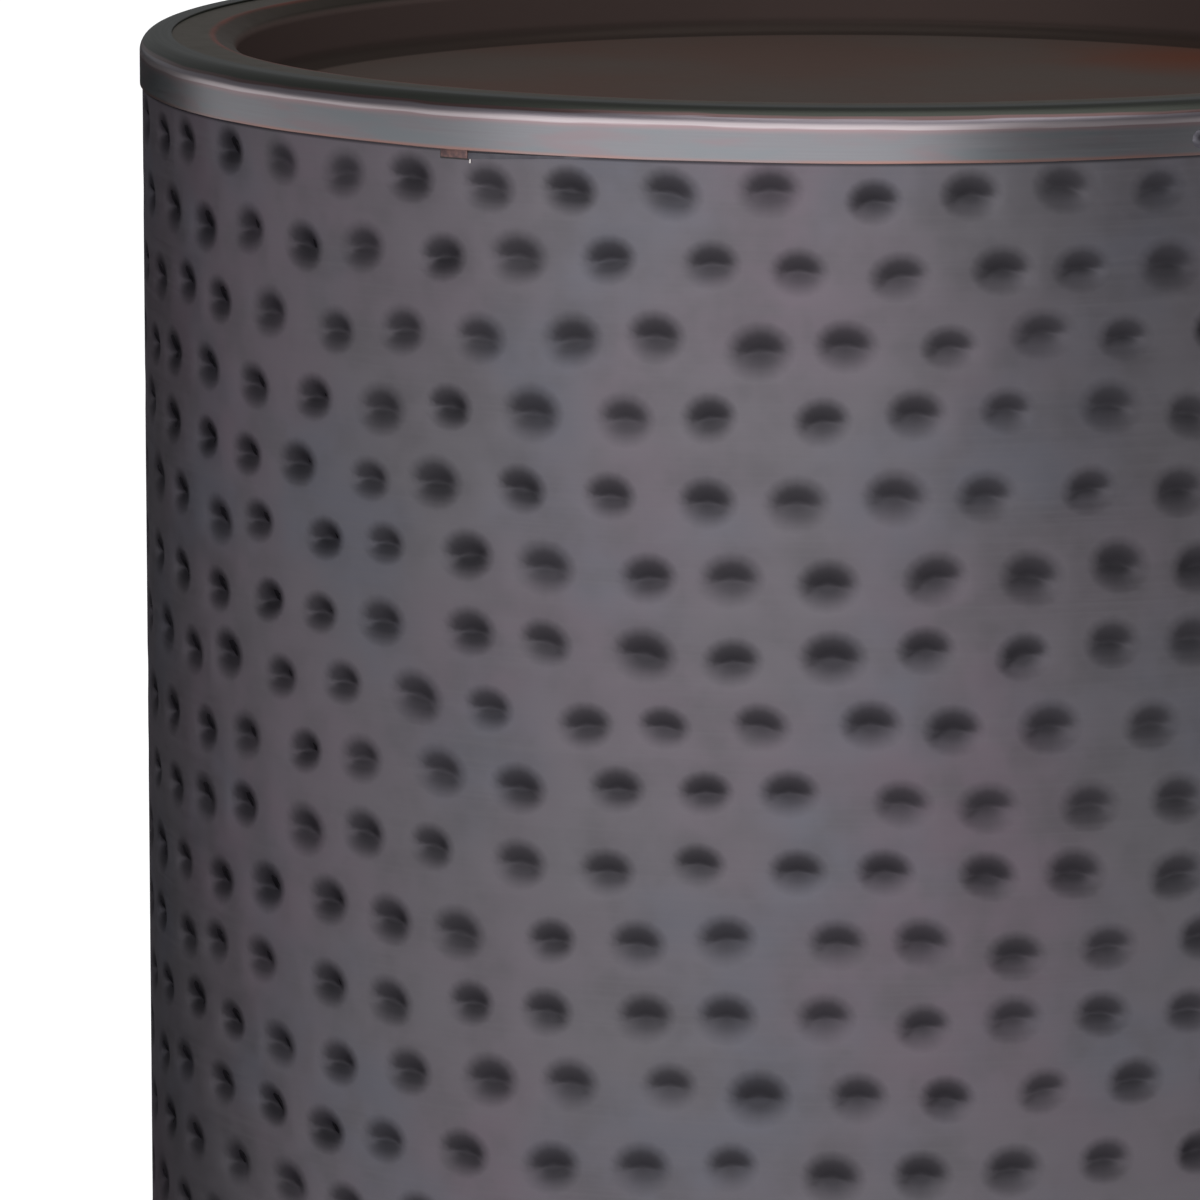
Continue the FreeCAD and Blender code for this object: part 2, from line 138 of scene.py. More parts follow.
def start_material(name: str) -> tuple[bpy.types.Material, Callable[..., bpy.types.NodeSocket]]:
    """Starts an empty material.

    Args:
        name: Name of the material, for what the finish really is.

    Returns:
        The material, and add_node with its tree already given.
    """
    material = bpy.data.materials.new(name)
    material.use_nodes = True
    material.node_tree.nodes.clear()
    return material, partial(add_node, material.node_tree)


def lines_round_drum(node: Callable, place: bpy.types.NodeSocket, radius: float, long_mm: float,
                     fine_mm: float, layer: float = 0.0) -> bpy.types.NodeSocket:
    """Buffing lines that run round the drum, as a noise drawn out along the turn.

    Args:
        node: The add_node of the finish.
        place: Object coordinates.
        radius: Radius at which the lines have their stated length.
        long_mm: Length of a line.
        fine_mm: Spacing of the lines.
        layer: Place in the noise, so that two patterns differ.

    Returns:
        The pattern's output, from nothing to one.
    """
    across, deep, height = node("SeparateXYZ", {0: place}).node.outputs
    front = node("Math", {0: deep, 1: -1.0}, operation="MULTIPLY")
    angle = node("Math", {0: across, 1: front}, operation="ARCTAN2")
    flat = node("VectorMath", {0: place, 1: (1, 1, 0)}, operation="MULTIPLY")
    out = node("VectorMath", {0: flat}, "Value", operation="LENGTH")
    along = node("Math", {0: angle, 1: radius * per_metre(long_mm)}, operation="MULTIPLY")
    rise = node("Math", {0: height, 1: out}, operation="SUBTRACT")
    up = node("Math", {0: rise, 1: per_metre(fine_mm)}, operation="MULTIPLY")
    drawn = node("CombineXYZ", {0: along, 1: up, 2: layer})
    return node("TexNoise", {"Vector": drawn, "Scale": 1.0, "Detail": 2.0})


# Finishes

@dataclass(frozen=True)
class HammeredBronze:
    """Antiqued bronze lacquer on hammered sheet: a satin grey metal, dark in the dents.

    The hammer leaves the dents' floors dark with patina, while buffing the sheet between them leaves a
    mottled grey with violet and blue tints and faint lines round the drum. The dents' upper slopes, which
    face down, carry painted shade, and a painted shadow runs along the drum under each band's free edge.
    """

    grey: str = "#666368"
    violet: str = "#696068"
    blue: str = "#63626a"
    stain: str = "#5b585c"
    sheen: str = "#6c696e"
    dent: str = "#2e2d31"
    # Dark of the painted shade on the dents' upper slopes, of the painted shadow under the bands, and of
    # the seam
    crescent: str = "#242226"
    tint_mm: float = 110.0
    mottle_mm: float = 45.0
    stain_mm: float = 13.0
    planish_mm: float = 10.0
    # Real buffing lines are about 0.1 mm apart. They are drawn coarser here, so that they show.
    line_length_mm: float = 60.0
    line_mm: float = 1.2
    # Width of the painted shadow on the drum under each band's free edge
    edge_shadow_mm: float = 0.9
    seam_mm: float = 0.6
    behind_mm: float = 10.0
    # Shift of the painted shade on the dents' upper slopes towards their middles, by the patina's strength
    shade_lean: float = 0.12
    planish_share: float = 3.0
    relief_mm: float = 0.04
    relief: float = 0.5
    metallic: float = 0.88
    roughness: float = 0.46
    line_rough: float = 0.1
    # Tint of what the metal mirrors at a glancing angle
    grazing: str = "#959595"

    def material(self, radius: float, edge_shadow_heights: Sequence[float]) -> bpy.types.Material:
        """Builds the finish.

        Args:
            radius: Outer radius of the drum sheet.
            edge_shadow_heights: Heights of the painted shadow lines on the drum under the bands' free
                edges.

        Returns:
            The material.
        """
        material, node = start_material("antiqued_bronze_on_hammered_sheet")
        place = node("TexCoord", output="Object")
        across, deep, height = node("SeparateXYZ", {0: place}).node.outputs
        tint, mottle, stain, planish = (
            node("TexNoise", {"Vector": place, "W": 3.0 * turn, "Scale": per_metre(size), "Detail": 3.0},
                 noise_dimensions="4D")
            for turn, size in enumerate((self.tint_mm, self.mottle_mm, self.stain_mm, self.planish_mm)))
        lines = lines_round_drum(node, place, radius, self.line_length_mm, self.line_mm)
        grime = node("Attribute", output="Fac", attribute_name=GRIME_ATTRIBUTE)
        tip = node("SeparateXYZ", {0: node("NewGeometry", output="Normal")}, "Z")
        lean = node("Math", {0: grime, 1: -self.shade_lean, 2: tip}, operation="MULTIPLY_ADD")
        rises = [node("Math", {0: height, 1: edge_shadow}, operation="SUBTRACT") for edge_shadow in edge_shadow_heights]
        above, below = (node("Math", {0: rise}, operation="ABSOLUTE") for rise in rises)
        from_edge_shadow = node("Math", {0: above, 1: below}, operation="MINIMUM")
        from_seam = node("Math", {0: across}, operation="ABSOLUTE")
        steps = {
            "violet": (tint, 0.35, 0.65, 0.0, 1.0),
            "blue": (mottle, 0.45, 0.7, 0.0, 1.0),
            "stain": (stain, 0.4, 0.75, 0.0, 0.6),
            "sheen": (lines, 0.4, 0.75, 0.0, 0.25),
            "floor": (grime, 0.0, 1.0, 0.0, 0.8),
            # Painted shade: the dents' upper slopes, which face down, take the dark crescent colour
            "upper": (lean, -0.34, 0.04, 0.62, 0.0),
            # Painted shadow: a dark line on the drum just under each band's free edge
            "edge_shadow": (from_edge_shadow, 0.0, self.edge_shadow_mm * MM, 0.7, 0.0),
            "behind": (deep, 0.0, self.behind_mm * MM, 0.0, 1.0),
            "seam": (from_seam, 0.0, self.seam_mm * MM, 0.9, 0.0),
        }
        share = {name: node("MapRange", dict(zip(STEP_INPUTS, step)),
                            interpolation_type="LINEAR" if name == "floor" else "SMOOTHSTEP")
                 for name, step in steps.items()}
        seam = node("Math", {0: share["seam"], 1: share["behind"]}, operation="MULTIPLY")
        body = linear(self.grey)
        for part, colour in (
                (share["violet"], self.violet), (share["blue"], self.blue), (share["stain"], self.stain),
                (share["sheen"], self.sheen), (share["floor"], self.dent), (share["upper"], self.crescent),
                (share["edge_shadow"], self.crescent), (seam, self.crescent)):
            body = node("Mix", {0: part, 6: body, 7: linear(colour)}, 2, data_type="RGBA")
        smoothest = self.roughness - self.line_rough / 2
        rough = node("Math", {0: lines, 1: self.line_rough, 2: smoothest}, operation="MULTIPLY_ADD")
        relief = node("Math", {0: planish, 1: self.planish_share, 2: lines}, operation="MULTIPLY_ADD")
        bump = node("Bump", {"Height": relief, "Distance": self.relief_mm * MM, "Strength": self.relief})
        shader = node("BsdfPrincipled", {
            "Base Color": body, "Metallic": self.metallic, "Roughness": rough, "Normal": bump,
            "Specular Tint": linear(self.grazing), "Specular IOR Level": 0.0})
        node("OutputMaterial", {"Surface": shader})
        return material


@dataclass(frozen=True)
class BuffedBronze:
    """Bronze sheet buffed round the drum: a smooth grey sheen, with copper where its edges are worn.

    The bend is rubbed up to a copper line, and beyond that line the dark patina is whole. Where the bend
    starts there is painted highlight: a bright line with a pink fringe below it, and the crest above is a
    lighter grey that is partly rubbed metal and partly painted highlight.
    """

    face: str = "#757579"
    shade: str = "#727175"
    pink: str = "#786f73"
    cool: str = "#707377"
    # fringe and bright are painted highlight where the bend starts; crest is partly painted highlight
    fringe: str = "#877578"
    crest: str = "#817a80"
    bright: str = "#a89ea1"
    copper: str = "#5c4745"
    edge: str = "#8c6e68"
    patina: str = "#42443f"
    # Real buffing lines are about 0.1 mm apart. They are drawn coarser here, so that they show.
    line_length_mm: float = 45.0
    line_mm: float = 0.7
    wander_mm: float = 60.0
    blotch_mm: float = 30.0
    blotch_tall_mm: float = 5.0
    edge_mm: float = 1.1
    worn_mm: float = 2.5
    wander_tall_mm: float = 2.4
    fray_mm: float = 0.9
    relief_mm: float = 0.02
    relief: float = 0.12
    metallic: float = 1.0
    roughness: float = 0.32
    line_rough: float = 0.1
    patina_rough: float = 0.1

    def material(self, end: End, radius: float, edge: float, bend: float) -> bpy.types.Material:
        """Builds the finish of one hoop.

        Args:
            end: Rim or base.
            radius: Outer radius of the hoop.
            edge: Height of the hoop's free edge.
            bend: Height at which its crest starts to turn in.

        Returns:
            The material.
        """
        material, node = start_material(f"buffed_bronze_{end.value}")
        place = node("TexCoord", output="Object")
        height = node("SeparateXYZ", {0: place}, "Z")
        wander, patch = (
            node("TexNoise", {"Vector": place, "W": 5.0 * turn, "Scale": per_metre(size), "Detail": 3.0},
                 noise_dimensions="4D")
            for turn, size in enumerate((self.wander_mm, self.blotch_mm)))
        pink, cool = (
            lines_round_drum(node, place, radius, self.blotch_mm, self.blotch_tall_mm, layer)
            for layer in (3.0, 9.0))
        lines = lines_round_drum(node, place, radius, self.line_length_mm, self.line_mm)
        outward = (1.0 if end is End.RIM else -1.0) / MM
        past_edge = node("Math", {0: height, 1: outward, 2: -edge * outward}, operation="MULTIPLY_ADD")
        lowest = -bend * outward - self.wander_tall_mm / 2
        straight = node("Math", {0: height, 1: outward, 2: lowest}, operation="MULTIPLY_ADD")
        past_bend = node("Math", {0: wander, 1: self.wander_tall_mm, 2: straight}, operation="MULTIPLY_ADD")
        frayed = node("Math", {0: lines, 1: self.fray_mm, 2: past_bend}, operation="MULTIPLY_ADD")
        steps = {
            "buffed": (lines, 0.3, 0.7, 0.0, 1.0),
            "pink": (pink, 0.45, 0.7, 0.0, 1.0),
            "cool": (cool, 0.45, 0.7, 0.0, 1.0),
            # Painted highlight where the bend starts: the fringe and the bright line, and part of the
            # crest's lightness
            "fringe": (past_bend, -2.0, -0.3, 0.0, 1.0),
            "bright": (frayed, -0.1, 0.4, 0.0, 1.0),
            "crest": (frayed, 0.9, 1.9, 0.0, 1.0),
            "copper": (frayed, self.worn_mm - 0.1, self.worn_mm + 0.4, 0.0, 0.9),
            "patina": (frayed, self.worn_mm + 0.7, self.worn_mm + 1.2, 0.0, 1.0),
            "worn": (past_edge, 0.25, self.edge_mm, 1.0, 0.0),
            "patchy": (patch, 0.3, 0.6, 0.45, 1.0),
        }
        share = {name: node("MapRange", dict(zip(STEP_INPUTS, step)), interpolation_type="SMOOTHSTEP")
                 for name, step in steps.items()}
        worn_edge = node("Math", {0: share["worn"], 1: share["patchy"]}, operation="MULTIPLY")
        body = linear(self.shade)
        for part, colour in (
                (share["buffed"], self.face), (share["pink"], self.pink), (share["cool"], self.cool),
                (share["fringe"], self.fringe), (share["bright"], self.bright),
                (share["crest"], self.crest), (share["copper"], self.copper),
                (share["patina"], self.patina), (worn_edge, self.edge)):
            body = node("Mix", {0: part, 6: body, 7: linear(colour)}, 2, data_type="RGBA")
        smoothest = self.roughness - self.line_rough / 2
        rough = node("Math", {0: lines, 1: self.line_rough, 2: smoothest}, operation="MULTIPLY_ADD")
        rough = node("Math", {0: share["patina"], 1: self.patina_rough, 2: rough}, operation="MULTIPLY_ADD")
        bump = node("Bump", {"Height": lines, "Distance": self.relief_mm * MM, "Strength": self.relief})
        shader = node("BsdfPrincipled", {
            "Base Color": body, "Metallic": self.metallic, "Roughness": rough, "Normal": bump})
        node("OutputMaterial", {"Surface": shader})
        return material


@dataclass(frozen=True)
class TrayPatina:
    """Dark brown patina on a pressed pan: bare and satin on the ledge, matt and even inside.

    The ledge is greenish, with its edge rubbed to copper. The patina is thick on wall and floor and hides
    most of the metal there, with a cloud of warmer brown near the back right. The corner between wall and
    floor is darker with painted shade.
    """

    ledge: str = "#4a4c46"
    copper: str = "#7a4038"
    shoulder: str = "#33322e"
    wall: str = "#4f4340"
    # Painted shade in the corner between wall and floor
    corner: str = "#2f2926"
    cloud: str = "#4e4642"
    floor: str = "#50423d"
    warm: str = "#5c382c"
    cloud_mm: float = 70.0
    patch_mm: float = 35.0
    # The patina's grain is finer than a millimetre. It is drawn coarser here, so that it shows.
    fine_mm: float = 6.0
    warm_place_mm: Pair = (105.0, 105.0)
    warm_mm: float = 75.0
    warm_wander_mm: float = 30.0
    edge_wander_mm: float = 2.0
    edge_mm: float = 1.6
    ledge_blend_mm: float = 0.6
    shoulder_blend_mm: float = 1.5
    relief_mm: float = 0.05
    relief: float = 0.25
    metallic: float = 0.85
    inside_metallic: float = 0.2
    roughness: float = 0.36
    grain_rough: float = 0.12
    # Tint of what the metal mirrors at a glancing angle
    grazing: str = "#eaded8"

    def material(self, ledge_edge: float, wall: float, floor: float, bend: float) -> bpy.types.Material:
        """Builds the finish.

        Args:
            ledge_edge: Radius of the edge between ledge and shoulder.
            wall: Radius of the tray's upright wall.
            floor: Height of the tray's floor.
            bend: Radius of the bend between wall and floor.

        Returns:
            The material.
        """
        material, node = start_material("brown_patina_on_pressed_pan")
        place = node("TexCoord", output="Object")
        height = node("SeparateXYZ", {0: place}, "Z")
        cloud, patch, fine = (
            node("TexNoise", {"Vector": place, "W": 4.0 * turn, "Scale": per_metre(size), "Detail": 4.0},
                 noise_dimensions="4D")
            for turn, size in enumerate((self.cloud_mm, self.patch_mm, self.fine_mm)))
        flat = node("VectorMath", {0: place, 1: (1, 1, 0)}, operation="MULTIPLY")
        reach = node("VectorMath", {0: flat}, "Value", operation="LENGTH")
        edge_wander = self.edge_wander_mm * MM
        radius = node("Math", {0: cloud, 1: edge_wander, 2: reach}, operation="MULTIPLY_ADD")
        edge = ledge_edge + edge_wander / 2
        ledge_blend = self.ledge_blend_mm * MM
        from_edge = node("Math", {0: radius, 1: edge}, operation="SUBTRACT")
        away = node("Math", {0: from_edge}, operation="ABSOLUTE")
        warm_place = (self.warm_place_mm[0] * MM, self.warm_place_mm[1] * MM, floor)
        from_warm = node("VectorMath", {0: place, 1: warm_place}, "Value", operation="DISTANCE")
        warm_wander = self.warm_wander_mm * MM
        spread = node("Math", {0: cloud, 1: warm_wander, 2: from_warm}, operation="MULTIPLY_ADD")
        steps = {
            "cloudy": (cloud, 0.35, 0.7, 0.0, 1.0),
            "warm": (spread, warm_wander / 2, self.warm_mm * MM, 0.9, 0.0),
            "upright": (height, floor + bend * 0.2, floor + bend, 0.0, 1.0),
            "inside": (reach, wall - bend * 1.6, wall - bend * 0.7, 0.0, 0.85),
            "low": (height, floor + bend * 0.5, floor + bend * 1.4, 1.0, 0.0),
            "shoulder": (reach, wall, wall + self.shoulder_blend_mm * MM, 0.0, 1.0),
            "ledge": (radius, edge - ledge_blend, edge + ledge_blend, 0.0, 1.0),
            "worn": (away, 0.0, self.edge_mm * MM, 1.0, 0.0),
            "patchy": (patch, 0.3, 0.6, 0.4, 1.0),
        }
        share = {name: node("MapRange", dict(zip(STEP_INPUTS, step)), interpolation_type="SMOOTHSTEP")
                 for name, step in steps.items()}
        worn_edge = node("Math", {0: share["worn"], 1: share["patchy"]}, operation="MULTIPLY")
        # Painted shade: darkens the ring where the wall bends into the floor
        corner = node("Math", {0: share["inside"], 1: share["low"]}, operation="MULTIPLY")
        body = linear(self.floor)
        for part, colour in (
                (share["cloudy"], self.cloud), (share["warm"], self.warm), (share["upright"], self.wall),
                (corner, self.corner), (share["shoulder"], self.shoulder), (share["ledge"], self.ledge),
                (worn_edge, self.copper)):
            body = node("Mix", {0: part, 6: body, 7: linear(colour)}, 2, data_type="RGBA")
        bare = self.metallic - self.inside_metallic
        metal = node("Math", {0: share["shoulder"], 1: bare, 2: self.inside_metallic},
                     operation="MULTIPLY_ADD")
        smoothest = self.roughness - self.grain_rough / 2
        rough = node("Math", {0: fine, 1: self.grain_rough, 2: smoothest}, operation="MULTIPLY_ADD")
        bump = node("Bump", {"Height": fine, "Distance": self.relief_mm * MM, "Strength": self.relief})
        shader = node("BsdfPrincipled", {
            "Base Color": body, "Metallic": metal, "Roughness": rough, "Normal": bump,
            "Specular Tint": linear(self.grazing), "Specular IOR Level": 0.0})
        node("OutputMaterial", {"Surface": shader})
        return material


@dataclass(frozen=True)
class SmallPieceFinish:
    """Plain finish of a small or hidden piece, worn in patches between two colours."""

    name: str
    under: str
    over: str
    patch_mm: float
    roughness: float
    metallic: float = 1.0
    patch_rough: float = 0.2
    relief_mm: float = 0.04
    relief: float = 0.2

    def material(self) -> bpy.types.Material:
        """Builds the finish.

        Returns:
            The material.
        """
        material, node = start_material(self.name)
        place = node("TexCoord", output="Object")
        patch = node("TexNoise", {"Vector": place, "Scale": per_metre(self.patch_mm), "Detail": 4.0})
        share = node("MapRange", dict(zip(STEP_INPUTS, (patch, 0.35, 0.65, 0.0, 1.0))),
                     interpolation_type="SMOOTHSTEP")
        body = node("Mix", {0: share, 6: linear(self.under), 7: linear(self.over)}, 2, data_type="RGBA")
        smoothest = self.roughness - self.patch_rough / 2
        rough = node("Math", {0: patch, 1: self.patch_rough, 2: smoothest}, operation="MULTIPLY_ADD")
        bump = node("Bump", {"Height": patch, "Distance": self.relief_mm * MM, "Strength": self.relief})
        shader = node("BsdfPrincipled", {
            "Base Color": body, "Metallic": self.metallic, "Roughness": rough, "Normal": bump})
        node("OutputMaterial", {"Surface": shader})
        return material


# Bronze worn through on the tongue: a warm brown patch under the grey hoop
COPPER_TONGUE = SmallPieceFinish(
    "copper_worn_through_bronze", under="#6e5653", over="#564748", patch_mm=1.6, roughness=0.42)
# The hoop's lapped end was never buffed: duller and darker than its face
LAPPED_BRONZE = SmallPieceFinish(
    "dull_bronze_of_lapped_end", under="#57565b", over="#4d4b51", patch_mm=6.0, roughness=0.48)
# Painted shadow round the tongue: a black plate that gives back no light
SLOT_SHADOW = SmallPieceFinish(
    "painted_shadow_round_tongue", under="#2a2829", over="#353132", patch_mm=2.0, roughness=0.7, metallic=0.0)
# Filed metal left bare: one bright speck
BURR_METAL = SmallPieceFinish(
    "bare_filed_metal", under="#c9c4c2", over="#b5aeab", patch_mm=1.0, roughness=0.3)
# Rivets set after the buffing keep their patina: dark dots with a soft light on the dome
RIVET_BRONZE = SmallPieceFinish(
    "dark_bronze_rivet", under="#56545a", over="#46444a", patch_mm=2.5, roughness=0.42)
# Primer sprayed on mild steel: a matt near-black inside the drum
PRIMED_STEEL = SmallPieceFinish(
    "dark_primer_on_mild_steel", under="#3a3a3c", over="#4a4644", patch_mm=25.0, roughness=0.6,
    metallic=0.0)
# Zinc plate, passivated: pale grey with a faint yellow cast
ZINC_PLATE = SmallPieceFinish(
    "zinc_plated_steel", under="#b9bbbf", over="#a3a39a", patch_mm=1.5, roughness=0.35)
# Nylon moulded black: dull feet that hardly shine
GLIDE_NYLON = SmallPieceFinish(
    "black_moulded_nylon", under="#1c1c1d", over="#252526", patch_mm=4.0, roughness=0.5, metallic=0.0)


# Modelling helpers

def start_piece(name: str) -> bpy.types.Object:
    """Names the primitive that was just added.

    Args:
        name: Name of the object and of its mesh.

    Returns:
        The new object.
    """
    piece = bpy.context.object
    piece.name = name
    piece.data.name = name
    return piece


def select_only(piece: bpy.types.Object) -> None:
    """Makes one object the active and only selected one.

    Args:
        piece: The object.
    """
    bpy.ops.object.select_all(action="DESELECT")
    piece.select_set(True)
    bpy.context.view_layer.objects.active = piece


def pick_edges(piece: bpy.types.Object, wanted: Callable[[Vector, Vector], bool]) -> None:
    """Selects the edges of a piece in edit mode by the places of their two ends.

    Args:
        piece: Object in edit mode.
        wanted: Test on an edge's two ends.
    """
    shape = bmesh.from_edit_mesh(piece.data)
    for edge in shape.edges:
        edge.select_set(False)
    for edge in shape.edges:
        if wanted(edge.verts[0].co, edge.verts[1].co):
            edge.select_set(True)
    bmesh.update_edit_mesh(piece.data)


def arc(middle: Point, radius: float, start: float, end: float, steps: int) -> list[Point]:
    """Points on an arc in the upright plane.

    Args:
        middle: Radius and height of the arc's middle.
        radius: Radius of the arc.
        start: First angle in degrees from the outward direction, upwards positive.
        end: Last angle.
        steps: Number of spans.

    Returns:
        The points, with both ends.
    """
    angles = [math.radians(start + (end - start) * step / steps) for step in range(steps + 1)]
    return [(middle[0] + radius * math.cos(a), middle[1] + radius * math.sin(a)) for a in angles]


def spin_profile(name: str, points: Sequence[Point], steps: int, closed: bool) -> bpy.types.Object:
    """Draws a profile point by point and spins it round the drum's axis.

    Args:
        name: Name of the new piece.
        points: Radius and height of each point.
        steps: Number of spans round the axis.
        closed: Whether the last point joins the first.

    Returns:
        The spun object, with its normals outwards.
    """
    bpy.ops.object.select_all(action="DESELECT")
    bpy.ops.mesh.primitive_plane_add(size=MM, location=(0, 0, 0))
    piece = start_piece(name)
    bpy.ops.object.mode_set(mode="EDIT")
    bpy.ops.mesh.select_mode(type="VERT")
    bpy.ops.mesh.merge(type="CENTER")
    bpy.ops.transform.translate(value=(points[0][0], 0, points[0][1]))
    path = [*points, points[0]] if closed else list(points)
    for before, after in zip(path, path[1:]):
        step = (after[0] - before[0], 0, after[1] - before[1])
        bpy.ops.mesh.extrude_vertices_move(TRANSFORM_OT_translate={"value": step})
    bpy.ops.mesh.select_all(action="SELECT")
    bpy.ops.mesh.remove_doubles(threshold=SAME_POINT)
    bpy.ops.mesh.spin(steps=steps, angle=FULL_TURN, center=(0, 0, 0), axis=(0, 0, 1))
    bpy.ops.mesh.select_all(action="SELECT")
    bpy.ops.mesh.remove_doubles(threshold=SAME_POINT)
    bpy.ops.mesh.normals_make_consistent(inside=False)
    bpy.ops.object.mode_set(mode="OBJECT")
    return piece


def places_of(piece: bpy.types.Object) -> np.ndarray:
    """Reads the places of a mesh's points.

    Args:
        piece: The object.

    Returns:
        The places, one row each.
    """
    places = np.zeros(len(piece.data.vertices) * 3)
    piece.data.vertices.foreach_get("co", places)
    return places.reshape(-1, 3)


def set_places(piece: bpy.types.Object, places: np.ndarray) -> None:
    """Moves a mesh's points to these places."""
    piece.data.vertices.foreach_set("co", places.astype(np.float32).ravel())
    piece.data.update()


def smooth(piece: bpy.types.Object, angle: float) -> None:
    """Shades a piece smooth, with edges sharper than an angle in degrees kept crisp."""
    select_only(piece)
    bpy.ops.object.shade_smooth_by_angle(angle=math.radians(angle))


def bevel_edges(piece: bpy.types.Object, width: float) -> None:
    """Rounds the edges of a box-like piece.

    Args:
        piece: The object.
        width: Width of the rounding.
    """
    select_only(piece)
    bevel = piece.modifiers.new("edges", "BEVEL")
    bevel.width = width
    bevel.segments = 3
    bpy.ops.object.modifier_apply(modifier=bevel.name)
    smooth(piece, CRISP_FROM)


def finish_piece(piece: bpy.types.Object, material: bpy.types.Material,
                 nodes: Sequence[str]) -> None:
    """Dresses a new piece, rides it on the body and hides the nodes that it stands in for.

    Args:
        piece: The new object.
        material: Its finish.
        nodes: The nodes that it stands for.
    """
    piece.data.materials.clear()
    piece.data.materials.append(material)
    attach(piece, BODY)
    if nodes:
        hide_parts(*nodes)
    log.info("%s: %d faces", piece.name, len(piece.data.polygons))


# Sub-assemblies

@dataclass(frozen=True)
class DentDraw:
    """What chance gives the dents: the rows' shifts, and each dent's move, size, force and tilt."""

    row_shift: list[int]
    move: np.ndarray
    size: np.ndarray
    force: np.ndarray
    tilt: np.ndarray


